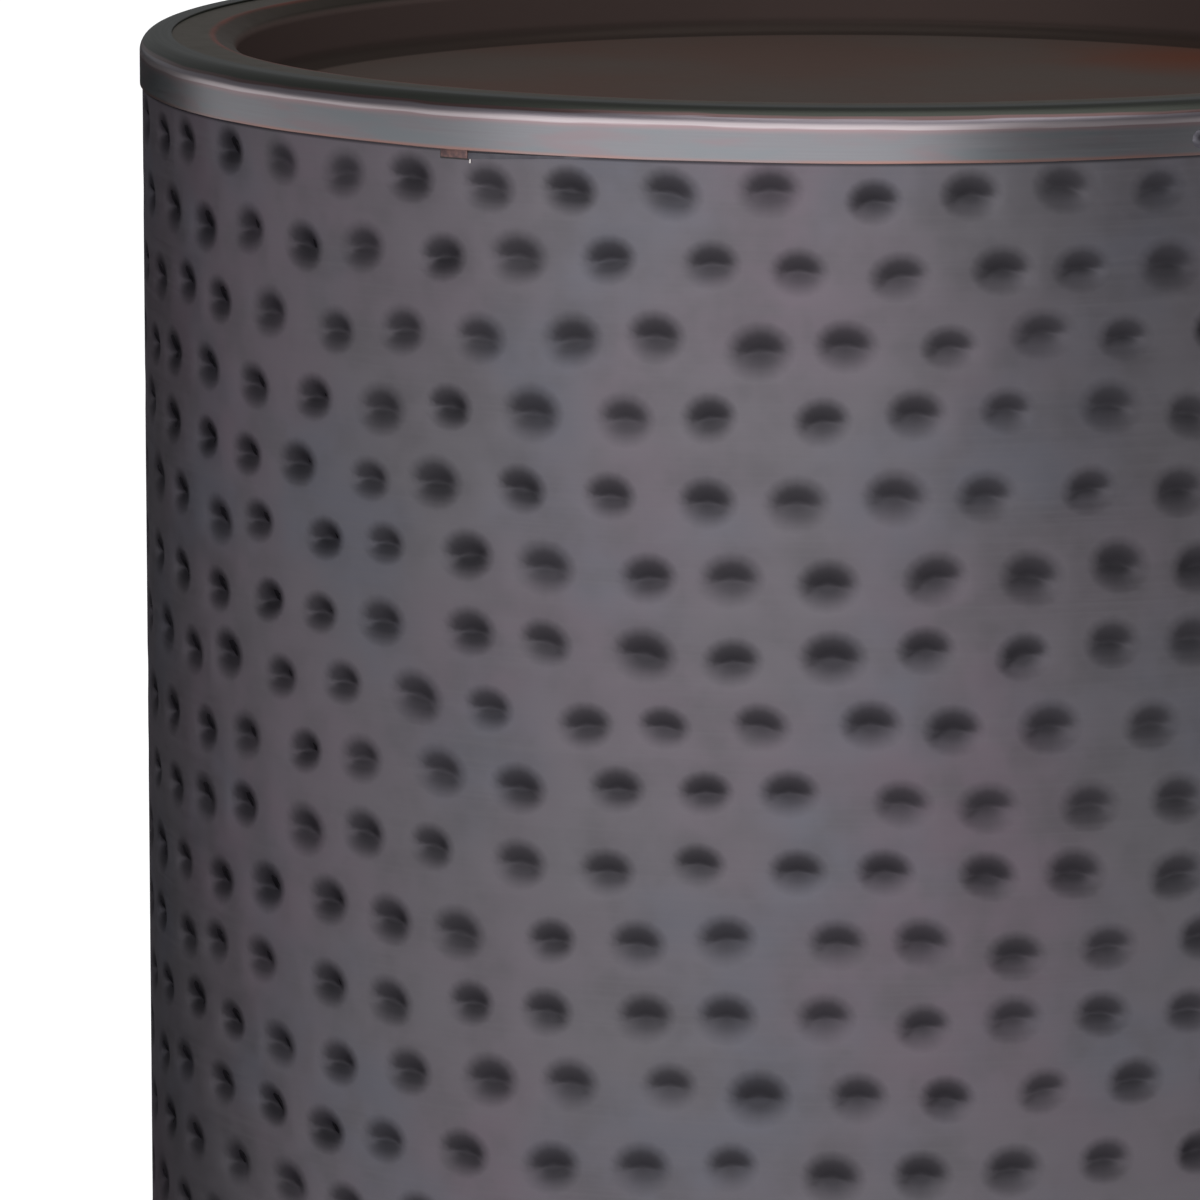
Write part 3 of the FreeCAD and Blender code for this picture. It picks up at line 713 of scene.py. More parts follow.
@dataclass
class HammeredDrum:
    """Rolled drum sheet with rows of hammered dents.

    Each dent has a cell of the sheet, fine in the middle and coarse at its border. A row of cells is
    shifted by whole border edges, so that the rows share their border points at any shift.
    """

    outer_radius: float
    bottom: float
    top: float
    band_edge: float
    base_edge: float
    sheet: float = 1.0 * MM
    dents_per_row: int = 49
    rows: int = 21
    row_pitch: float = 20.1 * MM
    first_row_drop: float = 8.3 * MM
    # Shape of a dent: a blunt hollow with a crease that arches across it
    dent_depth: float = 1.8 * MM
    dent_power: float = 2.2
    bluntness: float = 0.26
    crease: float = 2.3 * MM
    crease_taper: float = 0.25
    crease_arch: float = 50.0
    # Reach of the dark patina from a dent's middle
    grime_side: float = 9.6 * MM
    grime_above: float = 6.4 * MM
    grime_below: float = 7.5 * MM
    grime_power: float = 1.5
    grime_force: Pair = (0.9, 1.2)
    # Mesh of a cell
    cell_rings: tuple[float, ...] = (1.2 * MM, 3.0 * MM, 5.1 * MM, 7.5 * MM)
    cell_corners: int = 16
    lining_ring: float = 5.0 * MM
    lining_corners: int = 8
    edge_spans: int = 6
    side_spans: int = 2
    border_share: float = 1.005
    # Chance: how far dents lie off their places, and how much their size, force and tilt vary
    jitter: Pair = (2.0 * MM, 1.1 * MM)
    jitter_limit: Pair = (2.4 * MM, 1.6 * MM)
    size_spread: float = 0.05
    force_spread: float = 0.1
    tilt_spread: float = 6.0
    spread_limit: float = 2.0
    # Shifts of the rows that the photograph shows, in border edges, and the steps drawn for those below
    row_starts: tuple[int, ...] = (1, 3, 0, 4, 3, 5, 5, 1, 3, 3, 5, 5, 1, 5)
    row_steps: tuple[int, ...] = (2, 3, 4)
    seed: int = 21
    # Slow waves of the rows: height, waves round the drum, radians per metre upwards, start in radians
    row_waves: tuple[tuple[float, ...], ...] = ((1.3 * MM, 3, 35, 0), (0.9 * MM, 8, -21, 1))
    calm_rows: float = 3.0
    # Ends of the support bars: their angles, their reach to each side and the share of force over them
    bar_angles: tuple[float, ...] = (45.0, 135.0, 225.0, 315.0)
    bar_reach: float = 7.5
    bar_force: float = 0.55
    # From a band's free edge to the painted shadow line on the drum under it
    edge_shadow_gap: float = 0.3 * MM

    @property
    def column_pitch(self) -> float:
        """Length of a cell round the drum."""
        return FULL_TURN * self.outer_radius / self.dents_per_row

    @property
    def border_span(self) -> float:
        """Length of one edge of a cell's upper and lower border."""
        return self.column_pitch / self.edge_spans

    @property
    def first_row(self) -> float:
        """Height of the first row of dents."""
        return self.band_edge - self.first_row_drop

    def draw_dents(self) -> DentDraw:
        """Draws each row's shift and each dent's place, size, force and tilt, the same on every run.

        The dents over the support bars' ends are shallow, because the bars back the sheet there.

        Returns:
            The draw.
        """
        chance = random.Random(self.seed)
        row_shift = list(self.row_starts)
        while len(row_shift) < self.rows:
            row_shift.append((row_shift[-1] + chance.choice(self.row_steps)) % self.edge_spans)
        drawn = np.array([[[chance.gauss(0, 1) for _ in range(5)] for _ in range(self.dents_per_row)]
                          for _ in range(self.rows)])
        limits = np.array(self.jitter_limit)
        move = np.clip(drawn[..., :2] * np.array(self.jitter), -limits, limits)
        limited = np.clip(drawn[..., 2:], -self.spread_limit, self.spread_limit)
        size, force, tilt = np.moveaxis(limited, -1, 0)
        force = 1 + self.force_spread * force
        turn = (np.arange(self.dents_per_row) + row_shift[0] / self.edge_spans) * 360 / self.dents_per_row
        from_bar = np.abs((turn[:, None] - np.array(self.bar_angles) + 180) % 360 - 180).min(axis=1)
        force[0, from_bar < self.bar_reach] *= self.bar_force
        return DentDraw(row_shift, move, 1 + self.size_spread * size, force,
                        np.radians(self.tilt_spread * tilt))

    def model_cell(self, name: str, rings: Sequence[float], corners: int) -> bpy.types.Object:
        """Models one flat cell round a dent's middle.

        Args:
            name: Name of the object.
            rings: Radii of the rings round the middle.
            corners: Number of points on each ring.

        Returns:
            The cell, in the XY plane.
        """
        bpy.ops.object.select_all(action="DESELECT")
        bpy.ops.mesh.primitive_circle_add(vertices=corners, radius=rings[0], fill_type="TRIFAN")
        cell = start_piece(name)
        bpy.ops.object.mode_set(mode="EDIT")
        bpy.ops.mesh.select_mode(type="EDGE")
        for inner, outer in zip(rings, rings[1:]):
            bpy.ops.mesh.select_all(action="SELECT")
            bpy.ops.mesh.region_to_loop()
            bpy.ops.mesh.extrude_edges_move()
            bpy.ops.transform.resize(value=(outer / inner, outer / inner, 1))
        bpy.ops.mesh.primitive_plane_add(size=1)
        bpy.ops.transform.resize(value=(self.column_pitch, self.row_pitch, 1))
        bpy.ops.mesh.delete(type="ONLY_FACE")
        side = AT_END * self.column_pitch / 2
        edge = AT_END * self.row_pitch / 2
        pick_edges(cell, lambda a, b: abs(a.y) > edge and abs(b.y) > edge and a.y * b.y > 0)
        bpy.ops.mesh.subdivide(number_cuts=self.edge_spans - 1)
        pick_edges(cell, lambda a, b: abs(a.x) > side and abs(b.x) > side and a.x * b.x > 0)
        bpy.ops.mesh.subdivide(number_cuts=self.side_spans - 1)
        rim = AT_END * rings[-1]
        pick_edges(cell, lambda a, b: a.length > rim and b.length > rim)
        bpy.ops.mesh.bridge_edge_loops()
        bpy.ops.object.mode_set(mode="OBJECT")
        return cell

    def lay_sheet(self, cell: bpy.types.Object, row_shift: Sequence[int]) -> None:
        """Repeats a cell along a row and the row down the sheet, and adds the plain strips under the bands.

        Args:
            cell: The modelled cell, which becomes the flat sheet.
            row_shift: Shift of each row, in border edges.
        """
        select_only(cell)
        row = cell.modifiers.new("row", "ARRAY")
        row.count = self.dents_per_row
        row.use_relative_offset = False
        row.use_constant_offset = True
        row.constant_offset_displace = (self.column_pitch, 0, 0)
        row.use_merge_vertices = True
        row.merge_threshold = SAME_CORNER
        bpy.ops.object.modifier_apply(modifier=row.name)
        bpy.ops.object.mode_set(mode="EDIT")
        bpy.ops.mesh.select_mode(type="VERT")
        bpy.ops.mesh.select_all(action="SELECT")
        bpy.ops.transform.translate(value=(row_shift[0] * self.border_span, 0, 0))
        for before, after in zip(row_shift, row_shift[1:]):
            step = ((after - before) * self.border_span, -self.row_pitch, 0)
            bpy.ops.mesh.duplicate_move(TRANSFORM_OT_translate={"value": step})
        bpy.ops.mesh.select_all(action="SELECT")
        bpy.ops.mesh.remove_doubles(threshold=SAME_CORNER)
        bpy.ops.mesh.select_mode(type="EDGE")
        upper = self.row_pitch / 2
        lower = -(self.rows - 0.5) * self.row_pitch
        for edge, end in ((upper, self.top - self.first_row), (lower, self.bottom - self.first_row)):
            pick_edges(cell, lambda a, b: abs(a.y - edge) < NEAR and abs(b.y - edge) < NEAR)
            bpy.ops.mesh.extrude_edges_move(TRANSFORM_OT_translate={"value": (0, end - edge, 0)})
        bpy.ops.object.mode_set(mode="OBJECT")

    def hammer(self, flat: np.ndarray, draw: DentDraw) -> tuple[np.ndarray, np.ndarray, np.ndarray]:
        """Works out what the hammer does to each point of the flat sheet.

        Args:
            flat: Places of the points.
            draw: What chance gave the dents.

        Returns:
            Each point's move along and up the sheet, its depth, and the strength of the patina on it.
        """
        along, down = flat[:, 0], -flat[:, 1]
        row = np.clip(np.rint(down / self.row_pitch).astype(int), 0, self.rows - 1)
        shifted = along - np.array(draw.row_shift)[row] * self.border_span
        column = np.clip(np.rint(shifted / self.column_pitch).astype(int), 0, self.dents_per_row - 1)
        force, tilt, size = (drawn[row, column] for drawn in (draw.force, draw.tilt, draw.size))
        from_middle = np.stack((shifted - column * self.column_pitch, -(down - row * self.row_pitch)), 1)
        away = np.linalg.norm(from_middle, axis=1)
        share = np.clip(away / self.cell_rings[-1], 0, 1)
        blunt = np.hypot(share, self.bluntness) - self.bluntness
        blunt = np.clip(blunt / (math.hypot(1, self.bluntness) - self.bluntness), 0, 1)
        pressed = (1 - blunt) ** self.dent_power * force
        longer = self.crease * (1 - self.crease_taper * share) / np.maximum(away, SAME_POINT)
        side = from_middle[:, 0] * (1 + longer)
        rise = from_middle[:, 1] - self.crease_arch * side ** 2 * (1 - share)
        turned = np.stack((side * np.cos(tilt) - rise * np.sin(tilt),
                           side * np.sin(tilt) + rise * np.cos(tilt)), 1)
        move = draw.move[row, column] + turned * size[:, None] - from_middle
        spread = np.where(rise > 0, self.grime_above, self.grime_below)
        from_grime = (side / self.grime_side) ** 2 + (rise / spread) ** 2
        grime = np.clip(1 - from_grime, 0, 1) ** self.grime_power * np.clip(force, *self.grime_force)
        border = away > self.cell_rings[-1] * self.border_share
        move[border] = 0
        grime[border] = 0
        return move, pressed * self.dent_depth, grime

    def roll(self, sheet: bpy.types.Object, radius: float, move: np.ndarray, depth: np.ndarray) -> None:
        """Rolls the flat sheet with its dents to a radius, its rows in slow waves, and closes its seam.

        Args:
            sheet: The flat sheet.
            radius: Radius of the sheet's face between dents.
            move: Each point's move along and up the sheet.
            depth: Each point's depth.
        """
        flat = places_of(sheet)
        angle = flat[:, 0] / self.column_pitch * FULL_TURN / self.dents_per_row
        height = self.first_row + flat[:, 1]
        calm = self.calm_rows * self.row_pitch
        fade = np.clip((height - self.bottom) / calm, 0, 1) * np.clip((self.top - height) / calm, 0, 1)
        wander = sum(tall * np.sin(turns * angle + climb * height + start)
                     for tall, turns, climb, start in self.row_waves)
        height = height + move[:, 1] + wander * fade
        angle = angle + move[:, 0] / self.outer_radius
        reach = radius - depth
        set_places(sheet, np.stack((reach * np.sin(angle), -reach * np.cos(angle), height), 1))
        select_only(sheet)
        bpy.ops.object.mode_set(mode="EDIT")
        bpy.ops.mesh.select_all(action="SELECT")
        bpy.ops.mesh.remove_doubles(threshold=SAME_CORNER)
        bpy.ops.object.mode_set(mode="OBJECT")

    def close_edges(self, drum: bpy.types.Object) -> None:
        """Joins the outer face to the lining along the top and bottom edges.

        Args:
            drum: The outer face and the lining in one object.
        """
        select_only(drum)
        bpy.ops.object.mode_set(mode="EDIT")
        bpy.ops.mesh.select_mode(type="EDGE")
        inner = self.outer_radius - self.sheet
        middle = self.outer_radius - self.sheet / 2
        for height in (self.top, self.bottom):
            pick_edges(drum, lambda a, b: abs(a.z - height) < NEAR and abs(b.z - height) < NEAR
                       and a.xy.length > middle and b.xy.length > middle)
            bpy.ops.mesh.extrude_edges_move()
            share = inner / self.outer_radius
            bpy.ops.transform.resize(value=(share, share, 1), center_override=(0, 0, height))
        bpy.ops.mesh.select_all(action="SELECT")
        bpy.ops.mesh.remove_doubles(threshold=SAME_CORNER)
        bpy.ops.mesh.normals_make_consistent(inside=False)
        bpy.ops.object.mode_set(mode="OBJECT")

    def build(self) -> bpy.types.Object:
        """Models, hammers and rolls the sheet with its lining.

        Returns:
            The drum sheet.
        """
        draw = self.draw_dents()
        drum = self.model_cell("hammered_drum_sheet", self.cell_rings, self.cell_corners)
        lining = self.model_cell("drum_sheet_lining", (self.lining_ring,), self.lining_corners)
        for face, radius in ((drum, self.outer_radius), (lining, self.outer_radius - self.sheet)):
            self.lay_sheet(face, draw.row_shift)
            move, depth, grime = self.hammer(places_of(face), draw)
            attribute = face.data.attributes.new(GRIME_ATTRIBUTE, "FLOAT", "POINT")
            attribute.data.foreach_set("value", grime.astype(np.float32))
            self.roll(face, radius, move, depth)
        select_only(drum)
        lining.select_set(True)
        bpy.ops.object.join()
        self.close_edges(drum)
        smooth(drum, DOMED_CRISP_FROM)
        return drum

    def dress(self, drum: bpy.types.Object) -> None:
        """Gives the drum sheet its finish.

        Args:
            drum: The built sheet.
        """
        edge_shadow_heights = (self.band_edge - self.edge_shadow_gap, self.base_edge + self.edge_shadow_gap)
        material = HammeredBronze().material(self.outer_radius, edge_shadow_heights)
        finish_piece(drum, material, ["drum_shell"])


@dataclass
class BandHoop:
    """Smooth hoop of angle section at one end of the drum, with a rounded crest."""

    end: End
    node: str
    radius: float
    crest: float
    free_edge: float
    sheet: float = 0.6 * MM
    bend: float = 5.0 * MM
    leg: float = 9.0 * MM
    edge_round: float = 0.15 * MM
    steps: int = 320
    bend_spans: int = 12
    # Sway of the free edge: how far up it reaches, how far in it lies, its height, and its waves as
    # the number round the hoop, the start in radians and the share
    sway_reach: float = 3.0 * MM
    sway_in: float = 0.096 * MM
    sway_tall: float = 0.048 * MM
    sway_waves: tuple[tuple[float, ...], ...] = ((11, 0.6, 1.0), (23, 2.1, 0.7), (41, 0.0, 0.4))

    @property
    def inwards(self) -> float:
        """Sign that goes from the crest into the hoop."""
        return -1.0 if self.end is End.RIM else 1.0

    def profile(self) -> list[Point]:
        """Draws the hoop's section as for the rim, with the crest at height nothing.

        Returns:
            The section's points.
        """
        tall = abs(self.crest - self.free_edge)
        middle = (self.radius - self.bend, -self.bend)
        inner = self.radius - self.sheet
        leg_edge = self.radius - self.leg
        cut = self.edge_round
        return [
            (self.radius - cut, -tall),
            (self.radius, -tall + cut),
            *arc(middle, self.bend, 0, 90, self.bend_spans),
            (leg_edge + cut, 0),
            (leg_edge, -cut),
            (leg_edge, -self.sheet + cut),
            (leg_edge + cut, -self.sheet),
            *arc(middle, self.bend - self.sheet, 90, 0, self.bend_spans // 2),
            (inner, -tall + cut),
            (inner + cut, -tall),
        ]

    def sway(self, hoop: bpy.types.Object) -> None:
        """Lets the free edge rise and fall a little, as on a hoop set by hand.

        Args:
            hoop: The spun hoop.
        """
        places = places_of(hoop)
        angle = np.arctan2(places[:, 0], -places[:, 1])
        from_edge = np.abs(places[:, 2] - self.free_edge)
        share = np.clip(1 - from_edge / self.sway_reach, 0, 1)
        wave = sum(part * np.sin(turns * angle + start) for turns, start, part in self.sway_waves)
        places[:, 2] += self.inwards * share * (self.sway_in + self.sway_tall * wave)
        set_places(hoop, places)

    def build(self) -> bpy.types.Object:
        """Spins the section and sways its free edge.

        Returns:
            The hoop.
        """
        points = [(r, self.crest - self.inwards * h) for r, h in self.profile()]
        hoop = spin_profile(f"{self.end.value}_band_hoop", points, self.steps, closed=True)
        self.sway(hoop)
        smooth(hoop, CRISP_FROM)
        return hoop

    def dress(self, hoop: bpy.types.Object) -> None:
        """Gives the hoop its finish.

        Args:
            hoop: The built hoop.
        """
        bend_start = self.crest + self.inwards * self.bend
        material = BuffedBronze().material(self.end, self.radius, self.free_edge, bend_start)
        finish_piece(hoop, material, [self.node])


@dataclass
class TrayPan:
    """Pressed pan of the top: ledge, sloped shoulder, upright wall and floor."""

    edge: float
    ledge: float
    underside: float
    sheet: float = 1.0 * MM
    ledge_edge: float = 179.6 * MM
    wall: float = 172.6 * MM
    shoulder_drop: float = 3.0 * MM
    shoulder_bend: float = 3.0 * MM
    floor_bend: float = 4.0 * MM
    steps: int = 320
    bend_spans: int = 8
    floor_rings: int = 14
    # Sway of the floor: its height, the power of its fade to the wall, its start in radians, and its
    # waves in radians per metre
    sway: float = 0.12 * MM
    sway_fade: float = 0.5
    sway_start: float = 1.0
    sway_across: float = 38.0
    sway_deep: float = 31.0
    ripple_deep: float = 70.0
    ripple_share: float = 0.6

    @property
    def floor(self) -> float:
        """Height of the floor's upper face."""
        return self.underside + self.sheet

    def profile(self) -> list[Point]:
        """Draws the pan's upper face, from the ledge's outer edge to the middle of the floor.

        Returns:
            The points of its section.
        """
        slope = math.degrees(math.atan2(self.shoulder_drop, self.ledge_edge - self.wall))
        low = self.ledge - self.shoulder_drop
        set_back = self.shoulder_bend * math.tan(math.radians(slope / 2))
        ledge_arc = (self.ledge_edge + set_back, self.ledge - self.shoulder_bend)
        lead = self.shoulder_bend * math.tan(math.radians((90 - slope) / 2))
        wall_arc = (self.wall + self.shoulder_bend, low - lead)
        floor_arc = (self.wall - self.floor_bend, self.floor + self.floor_bend)
        rings = [(floor_arc[0] * (1 - step / self.floor_rings), self.floor)
                 for step in range(1, self.floor_rings + 1)]
        return [
            (self.edge, self.ledge),
            (0.5 * (self.edge + self.ledge_edge), self.ledge),
            *arc(ledge_arc, self.shoulder_bend, 90, 90 + slope, self.bend_spans // 2),
            *arc(wall_arc, self.shoulder_bend, 90 + slope, 180, self.bend_spans),
            *arc(floor_arc, self.floor_bend, 0, -90, self.bend_spans),
            *rings,
        ]

    def build(self) -> bpy.types.Object:
        """Spins the pan, sways its floor and gives the sheet its thickness.

        Returns:
            The pan.
        """
        pan = spin_profile("tray_pan", self.profile(), self.steps, closed=False)
        places = places_of(pan)
        across, deep, height = places.T
        share = np.clip(1 - np.hypot(across, deep) / (self.wall - 2 * self.floor_bend), 0, 1)
        share = share ** self.sway_fade
        wave = (np.sin(self.sway_across * across + self.sway_start) * np.cos(self.sway_deep * deep)
                + self.ripple_share * np.sin(self.ripple_deep * deep))
        low = height < self.floor + SAME_POINT
        places[low, 2] += (self.sway * share * wave)[low]
        set_places(pan, places)
        facing_up = pan.data.polygons[0].normal.z > 0
        select_only(pan)
        wall = pan.modifiers.new("sheet", "SOLIDIFY")
        wall.thickness = self.sheet
        wall.offset = -1.0 if facing_up else 1.0
        bpy.ops.object.modifier_apply(modifier=wall.name)
        smooth(pan, CRISP_FROM)
        return pan

    def dress(self, pan: bpy.types.Object) -> None:
        """Gives the pan its finish.

        Args:
            pan: The built pan.
        """
        material = TrayPatina().material(self.ledge_edge, self.wall, self.floor, self.floor_bend)
        finish_piece(pan, material, ["top_tray"])


@dataclass
class DrumStiffeners:
    """Angle ring under the rim and strip behind the seam, set in by the depth of the dents' backs."""

    drum_radius: float
    ring_low: float
    ring_high: float
    strip_low: float
    strip_high: float
    strip_half: float
    set_in: float = 3.6 * MM
    steel: float = 2.0 * MM
    flange: float = 181.6 * MM
    bend: float = 3.0 * MM
    bend_spans: int = 5
    inner_spans: int = 3
    strip_sheet: float = 1.0 * MM
    strip_edge: float = 0.2 * MM
    steps: int = 160

    @property
    def leg(self) -> float:
        """Radius of the ring's upright leg."""
        return self.drum_radius - self.set_in

    def build(self) -> tuple[bpy.types.Object, bpy.types.Object]:
        """Spins the ring and models the strip.

        Returns:
            The ring and the strip.
        """
        middle = (self.leg - self.bend, self.ring_high - self.bend)
        points = [
            (self.leg, self.ring_low),
            *arc(middle, self.bend, 0, 90, self.bend_spans),
            (self.flange, self.ring_high),
            (self.flange, self.ring_high - self.steel),
            *arc(middle, self.bend - self.steel, 90, 0, self.inner_spans),
            (self.leg - self.steel, self.ring_low),
        ]
        ring = spin_profile("rolled_top_ring", points, self.steps, closed=True)
        smooth(ring, CRISP_FROM)
        tall = self.strip_high - self.strip_low
        reach = self.leg - self.strip_sheet / 2
        bpy.ops.object.select_all(action="DESELECT")
        bpy.ops.mesh.primitive_cube_add(size=1, location=(0, reach, self.strip_low + tall / 2))
        strip = start_piece("seam_backing_strip")
        strip.scale = (2 * self.strip_half, self.strip_sheet, tall)
        bpy.ops.object.transform_apply(location=True, rotation=True, scale=True)
        bevel_edges(strip, self.strip_edge)
        return ring, strip

    def dress(self, ring: bpy.types.Object, strip: bpy.types.Object) -> None:
        """Gives both pieces their finish.

        Args:
            ring: The built ring.
            strip: The built strip.
        """
        material = PRIMED_STEEL.material()
        finish_piece(ring, material, ["top_ring"])
        finish_piece(strip, material, ["seam_strip"])


@dataclass
class LapTab:
    """Copper tongue under the rim band where the hoop's ends lap, and the lapped end that runs on."""

    drum_radius: float
    low: float
    high: float
    angle: float = -31.3
    # A plate's front is how far it stands out of the drum's face
    width: float = 8.5 * MM
    tongue_deep: float = 0.75 * MM
    tongue_front: float = 0.55 * MM
    # The black plate round the tongue is a painted shadow: its margin, thickness and front
    slot: float = 0.45 * MM
    slot_deep: float = 0.4 * MM
    slot_front: float = 0.06 * MM
    burr: float = 0.55 * MM
    burr_tall: float = 1.21 * MM
    burr_deep: float = 0.5 * MM
    burr_front: float = 0.25 * MM
    burr_drop: float = 0.6 * MM
    # Rounding of a plate's edges, as a share of its least size
    edge_share: float = 0.24
    # The lapped end: its turn, its height at the tongue, the power of its taper, its drop and its gauge
    tail_angle: float = 11.0
    tail_tall: float = 1.7 * MM
    tail_taper: float = 0.8
    tail_drop: float = 0.7 * MM
    tail_sheet: float = 0.35 * MM
    tail_gap: float = 0.02 * MM
    tail_spans: int = 24

    def plate(self, name: str, size: tuple[float, float, float], aside: float, middle: float,
              front: float) -> bpy.types.Object:
        """Models a small bevelled plate on the drum's face.

        Args:
            name: Name of the piece.
            size: Width round the drum, thickness and height.
            aside: Shift to the right of the lap's middle.
            middle: Height of its middle.
            front: How far it stands out of the drum's face.

        Returns:
            The plate.
        """
        turn = math.radians(self.angle) + aside / self.drum_radius
        reach = self.drum_radius + front - size[1] / 2
        place = (reach * math.sin(turn), -reach * math.cos(turn), middle)
        bpy.ops.object.select_all(action="DESELECT")
        bpy.ops.mesh.primitive_cube_add(size=1, location=place, rotation=(0, 0, turn))
        plate = start_piece(name)
        plate.scale = size
        bpy.ops.object.transform_apply(location=True, rotation=True, scale=True)
        bevel_edges(plate, min(size) * self.edge_share)
        return plate

    def tail(self) -> bpy.types.Object:
        """Models the thin lapped end, which tapers away to the right.

        Returns:
            The lapped end.
        """
        bpy.ops.object.select_all(action="DESELECT")
        bpy.ops.mesh.primitive_grid_add(x_subdivisions=self.tail_spans, y_subdivisions=2, size=1)
        tail = start_piece("rim_lap_tail")
        flat = places_of(tail)
        share = flat[:, 0] + 0.5
        half = math.degrees(self.width / 2 / self.drum_radius)
        angle = np.radians(self.angle + half + share * self.tail_angle)
        tall = self.tail_tall * (1 - share) ** self.tail_taper
        height = self.high - self.tail_drop * (1 - share) - (0.5 - flat[:, 1]) * tall
        reach = self.drum_radius + self.tail_gap
        set_places(tail, np.stack((reach * np.sin(angle), -reach * np.cos(angle), height), 1))
        select_only(tail)
        bpy.ops.object.mode_set(mode="EDIT")
        bpy.ops.mesh.select_all(action="SELECT")
        bpy.ops.mesh.normals_make_consistent(inside=False)
        bpy.ops.object.mode_set(mode="OBJECT")
        outwards = tail.data.polygons[0].normal.y < 0
        sheet = tail.modifiers.new("sheet", "SOLIDIFY")
        sheet.thickness = self.tail_sheet
        sheet.offset = 1.0 if outwards else -1.0
        bpy.ops.object.modifier_apply(modifier=sheet.name)
        smooth(tail, CRISP_FROM)
        return tail

    def build(self) -> tuple[bpy.types.Object, ...]:
        """Models the lap.

        Returns:
            Tongue, slot, burr and lapped end.
        """
        tall = self.high - self.low
        middle = (self.low + self.high) / 2
        tongue_size = (self.width, self.tongue_deep, tall)
        tongue = self.plate("rim_lap_tongue", tongue_size, 0, middle, self.tongue_front)
        slot_size = (self.width + 2 * self.slot, self.slot_deep, tall + self.slot)
        # A black plate a little larger than the tongue, as painted shadow round it
        slot = self.plate("rim_lap_shadow_plate", slot_size, 0, middle - self.slot / 2, self.slot_front)
        burr_size = (self.burr, self.burr_deep, self.burr_tall)
        burr = self.plate("rim_lap_burr", burr_size, self.width / 2 + self.burr, self.low - self.burr_drop,
                          self.burr_front)
        return tongue, slot, burr, self.tail()

    def dress(self, tongue: bpy.types.Object, slot: bpy.types.Object, burr: bpy.types.Object,
              tail: bpy.types.Object) -> None:
        """Gives the lap's pieces their finishes.

        Args:
            tongue: The copper tongue.
            slot: The black plate round it, a painted shadow.
            burr: The bright burr at its corner.
            tail: The lapped end.
        """
        finish_piece(tongue, COPPER_TONGUE.material(), ["rim_lap_tab"])
        finish_piece(slot, SLOT_SHADOW.material(), [])
        finish_piece(burr, BURR_METAL.material(), [])
        finish_piece(tail, LAPPED_BRONZE.material(), [])


@dataclass
class RivetRow:
    """Domed rivets round one hoop, each with its shank and its clenched tail inside the drum."""

    end: End
    node: str
    radius: float
    low: float
    high: float
    first_angle: float = 27.4
    count: int = 3
    dome: float = 0.8 * MM
    shank: float = 1.5 * MM
    grip: float = 5.3 * MM
    tail: float = 0.9 * MM
    # Radii of the clenched tail and of its tip, as shares of the head's
    tail_share: float = 0.95
    tip_share: float = 0.8
    dome_spans: int = 6
    steps: int = 28

    @property
    def height(self) -> float:
        """Height of the rivets' axes."""
        return (self.low + self.high) / 2

    @property
    def head(self) -> float:
        """Radius of a head."""
        return (self.high - self.low) / 2

    @property
    def angles(self) -> list[float]:
        """Angle of each rivet, at equal steps round the drum."""
        return [self.first_angle + 360 * step / self.count for step in range(self.count)]

    def rivet(self) -> bpy.types.Object:
        """Spins one rivet, upright at the origin.

        Returns:
            The rivet.
        """
        curve = (self.head ** 2 + self.dome ** 2) / (2 * self.dome)
        half = math.degrees(math.asin(self.head / curve))
        points = [
            *arc((0, self.dome - curve), curve, 90, 90 - half, self.dome_spans),
            (self.shank, 0),
            (self.shank, -self.grip),
            (self.head * self.tail_share, -self.grip),
            (self.head * self.tip_share, -self.grip - self.tail),
            (0, -self.grip - self.tail),
        ]
        return spin_profile(f"{self.end.value}_rivet_set", points, self.steps, closed=False)

    def build(self) -> bpy.types.Object:
        """Models one rivet, copies it round the hoop and joins the row.

        Returns:
            The row.
        """
        first = self.rivet()
        upright = places_of(first)
        copies = [first]
        for _ in range(self.count - 1):
            select_only(first)
            bpy.ops.object.duplicate()
            copies.append(bpy.context.object)
        side, rise = upright[:, 0], upright[:, 1]
        out = self.radius + upright[:, 2]
        for copy, degrees in zip(copies, self.angles):
            turn = math.radians(degrees)
            set_places(copy, np.stack((
                out * math.sin(turn) + side * math.cos(turn),
                -out * math.cos(turn) + side * math.sin(turn),
                self.height + rise,
            ), 1))
        select_only(first)
        for copy in copies[1:]:
            copy.select_set(True)
        bpy.ops.object.join()
        bpy.ops.object.mode_set(mode="EDIT")
        bpy.ops.mesh.select_all(action="SELECT")
        bpy.ops.mesh.normals_make_consistent(inside=False)
        bpy.ops.object.mode_set(mode="OBJECT")
        smooth(first, DOMED_CRISP_FROM)
        return first

    def dress(self, row: bpy.types.Object) -> None:
        """Gives the row its finish."""
        finish_piece(row, RIVET_BRONZE.material(), [self.node])


@dataclass
class HiddenFrame:
    """Pieces whose solids already have their shape: base ring, bars, feet and fasteners."""

    steel_nodes: tuple[str, ...] = ("base_ring", "support_bar_lower", "support_bar_upper")
    glide_nodes: tuple[str, ...] = (
        "foot_glide_front_right", "foot_glide_back_right", "foot_glide_back_left", "foot_glide_front_left")
    zinc_nodes: tuple[str, ...] = ("foot_screws", "foot_washers", "foot_nuts")

    def dress(self) -> None:
        """Gives every node its finish."""
        finishes = (
            (self.steel_nodes, PRIMED_STEEL),
            (self.glide_nodes, GLIDE_NYLON),
            (self.zinc_nodes, ZINC_PLATE),
        )
        for names, finish in finishes:
            material = finish.material()
            for name in names:
                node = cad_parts[name]
                node.data.materials.clear()
                node.data.materials.append(material)
                log.info("%s: %s", name, finish.name)


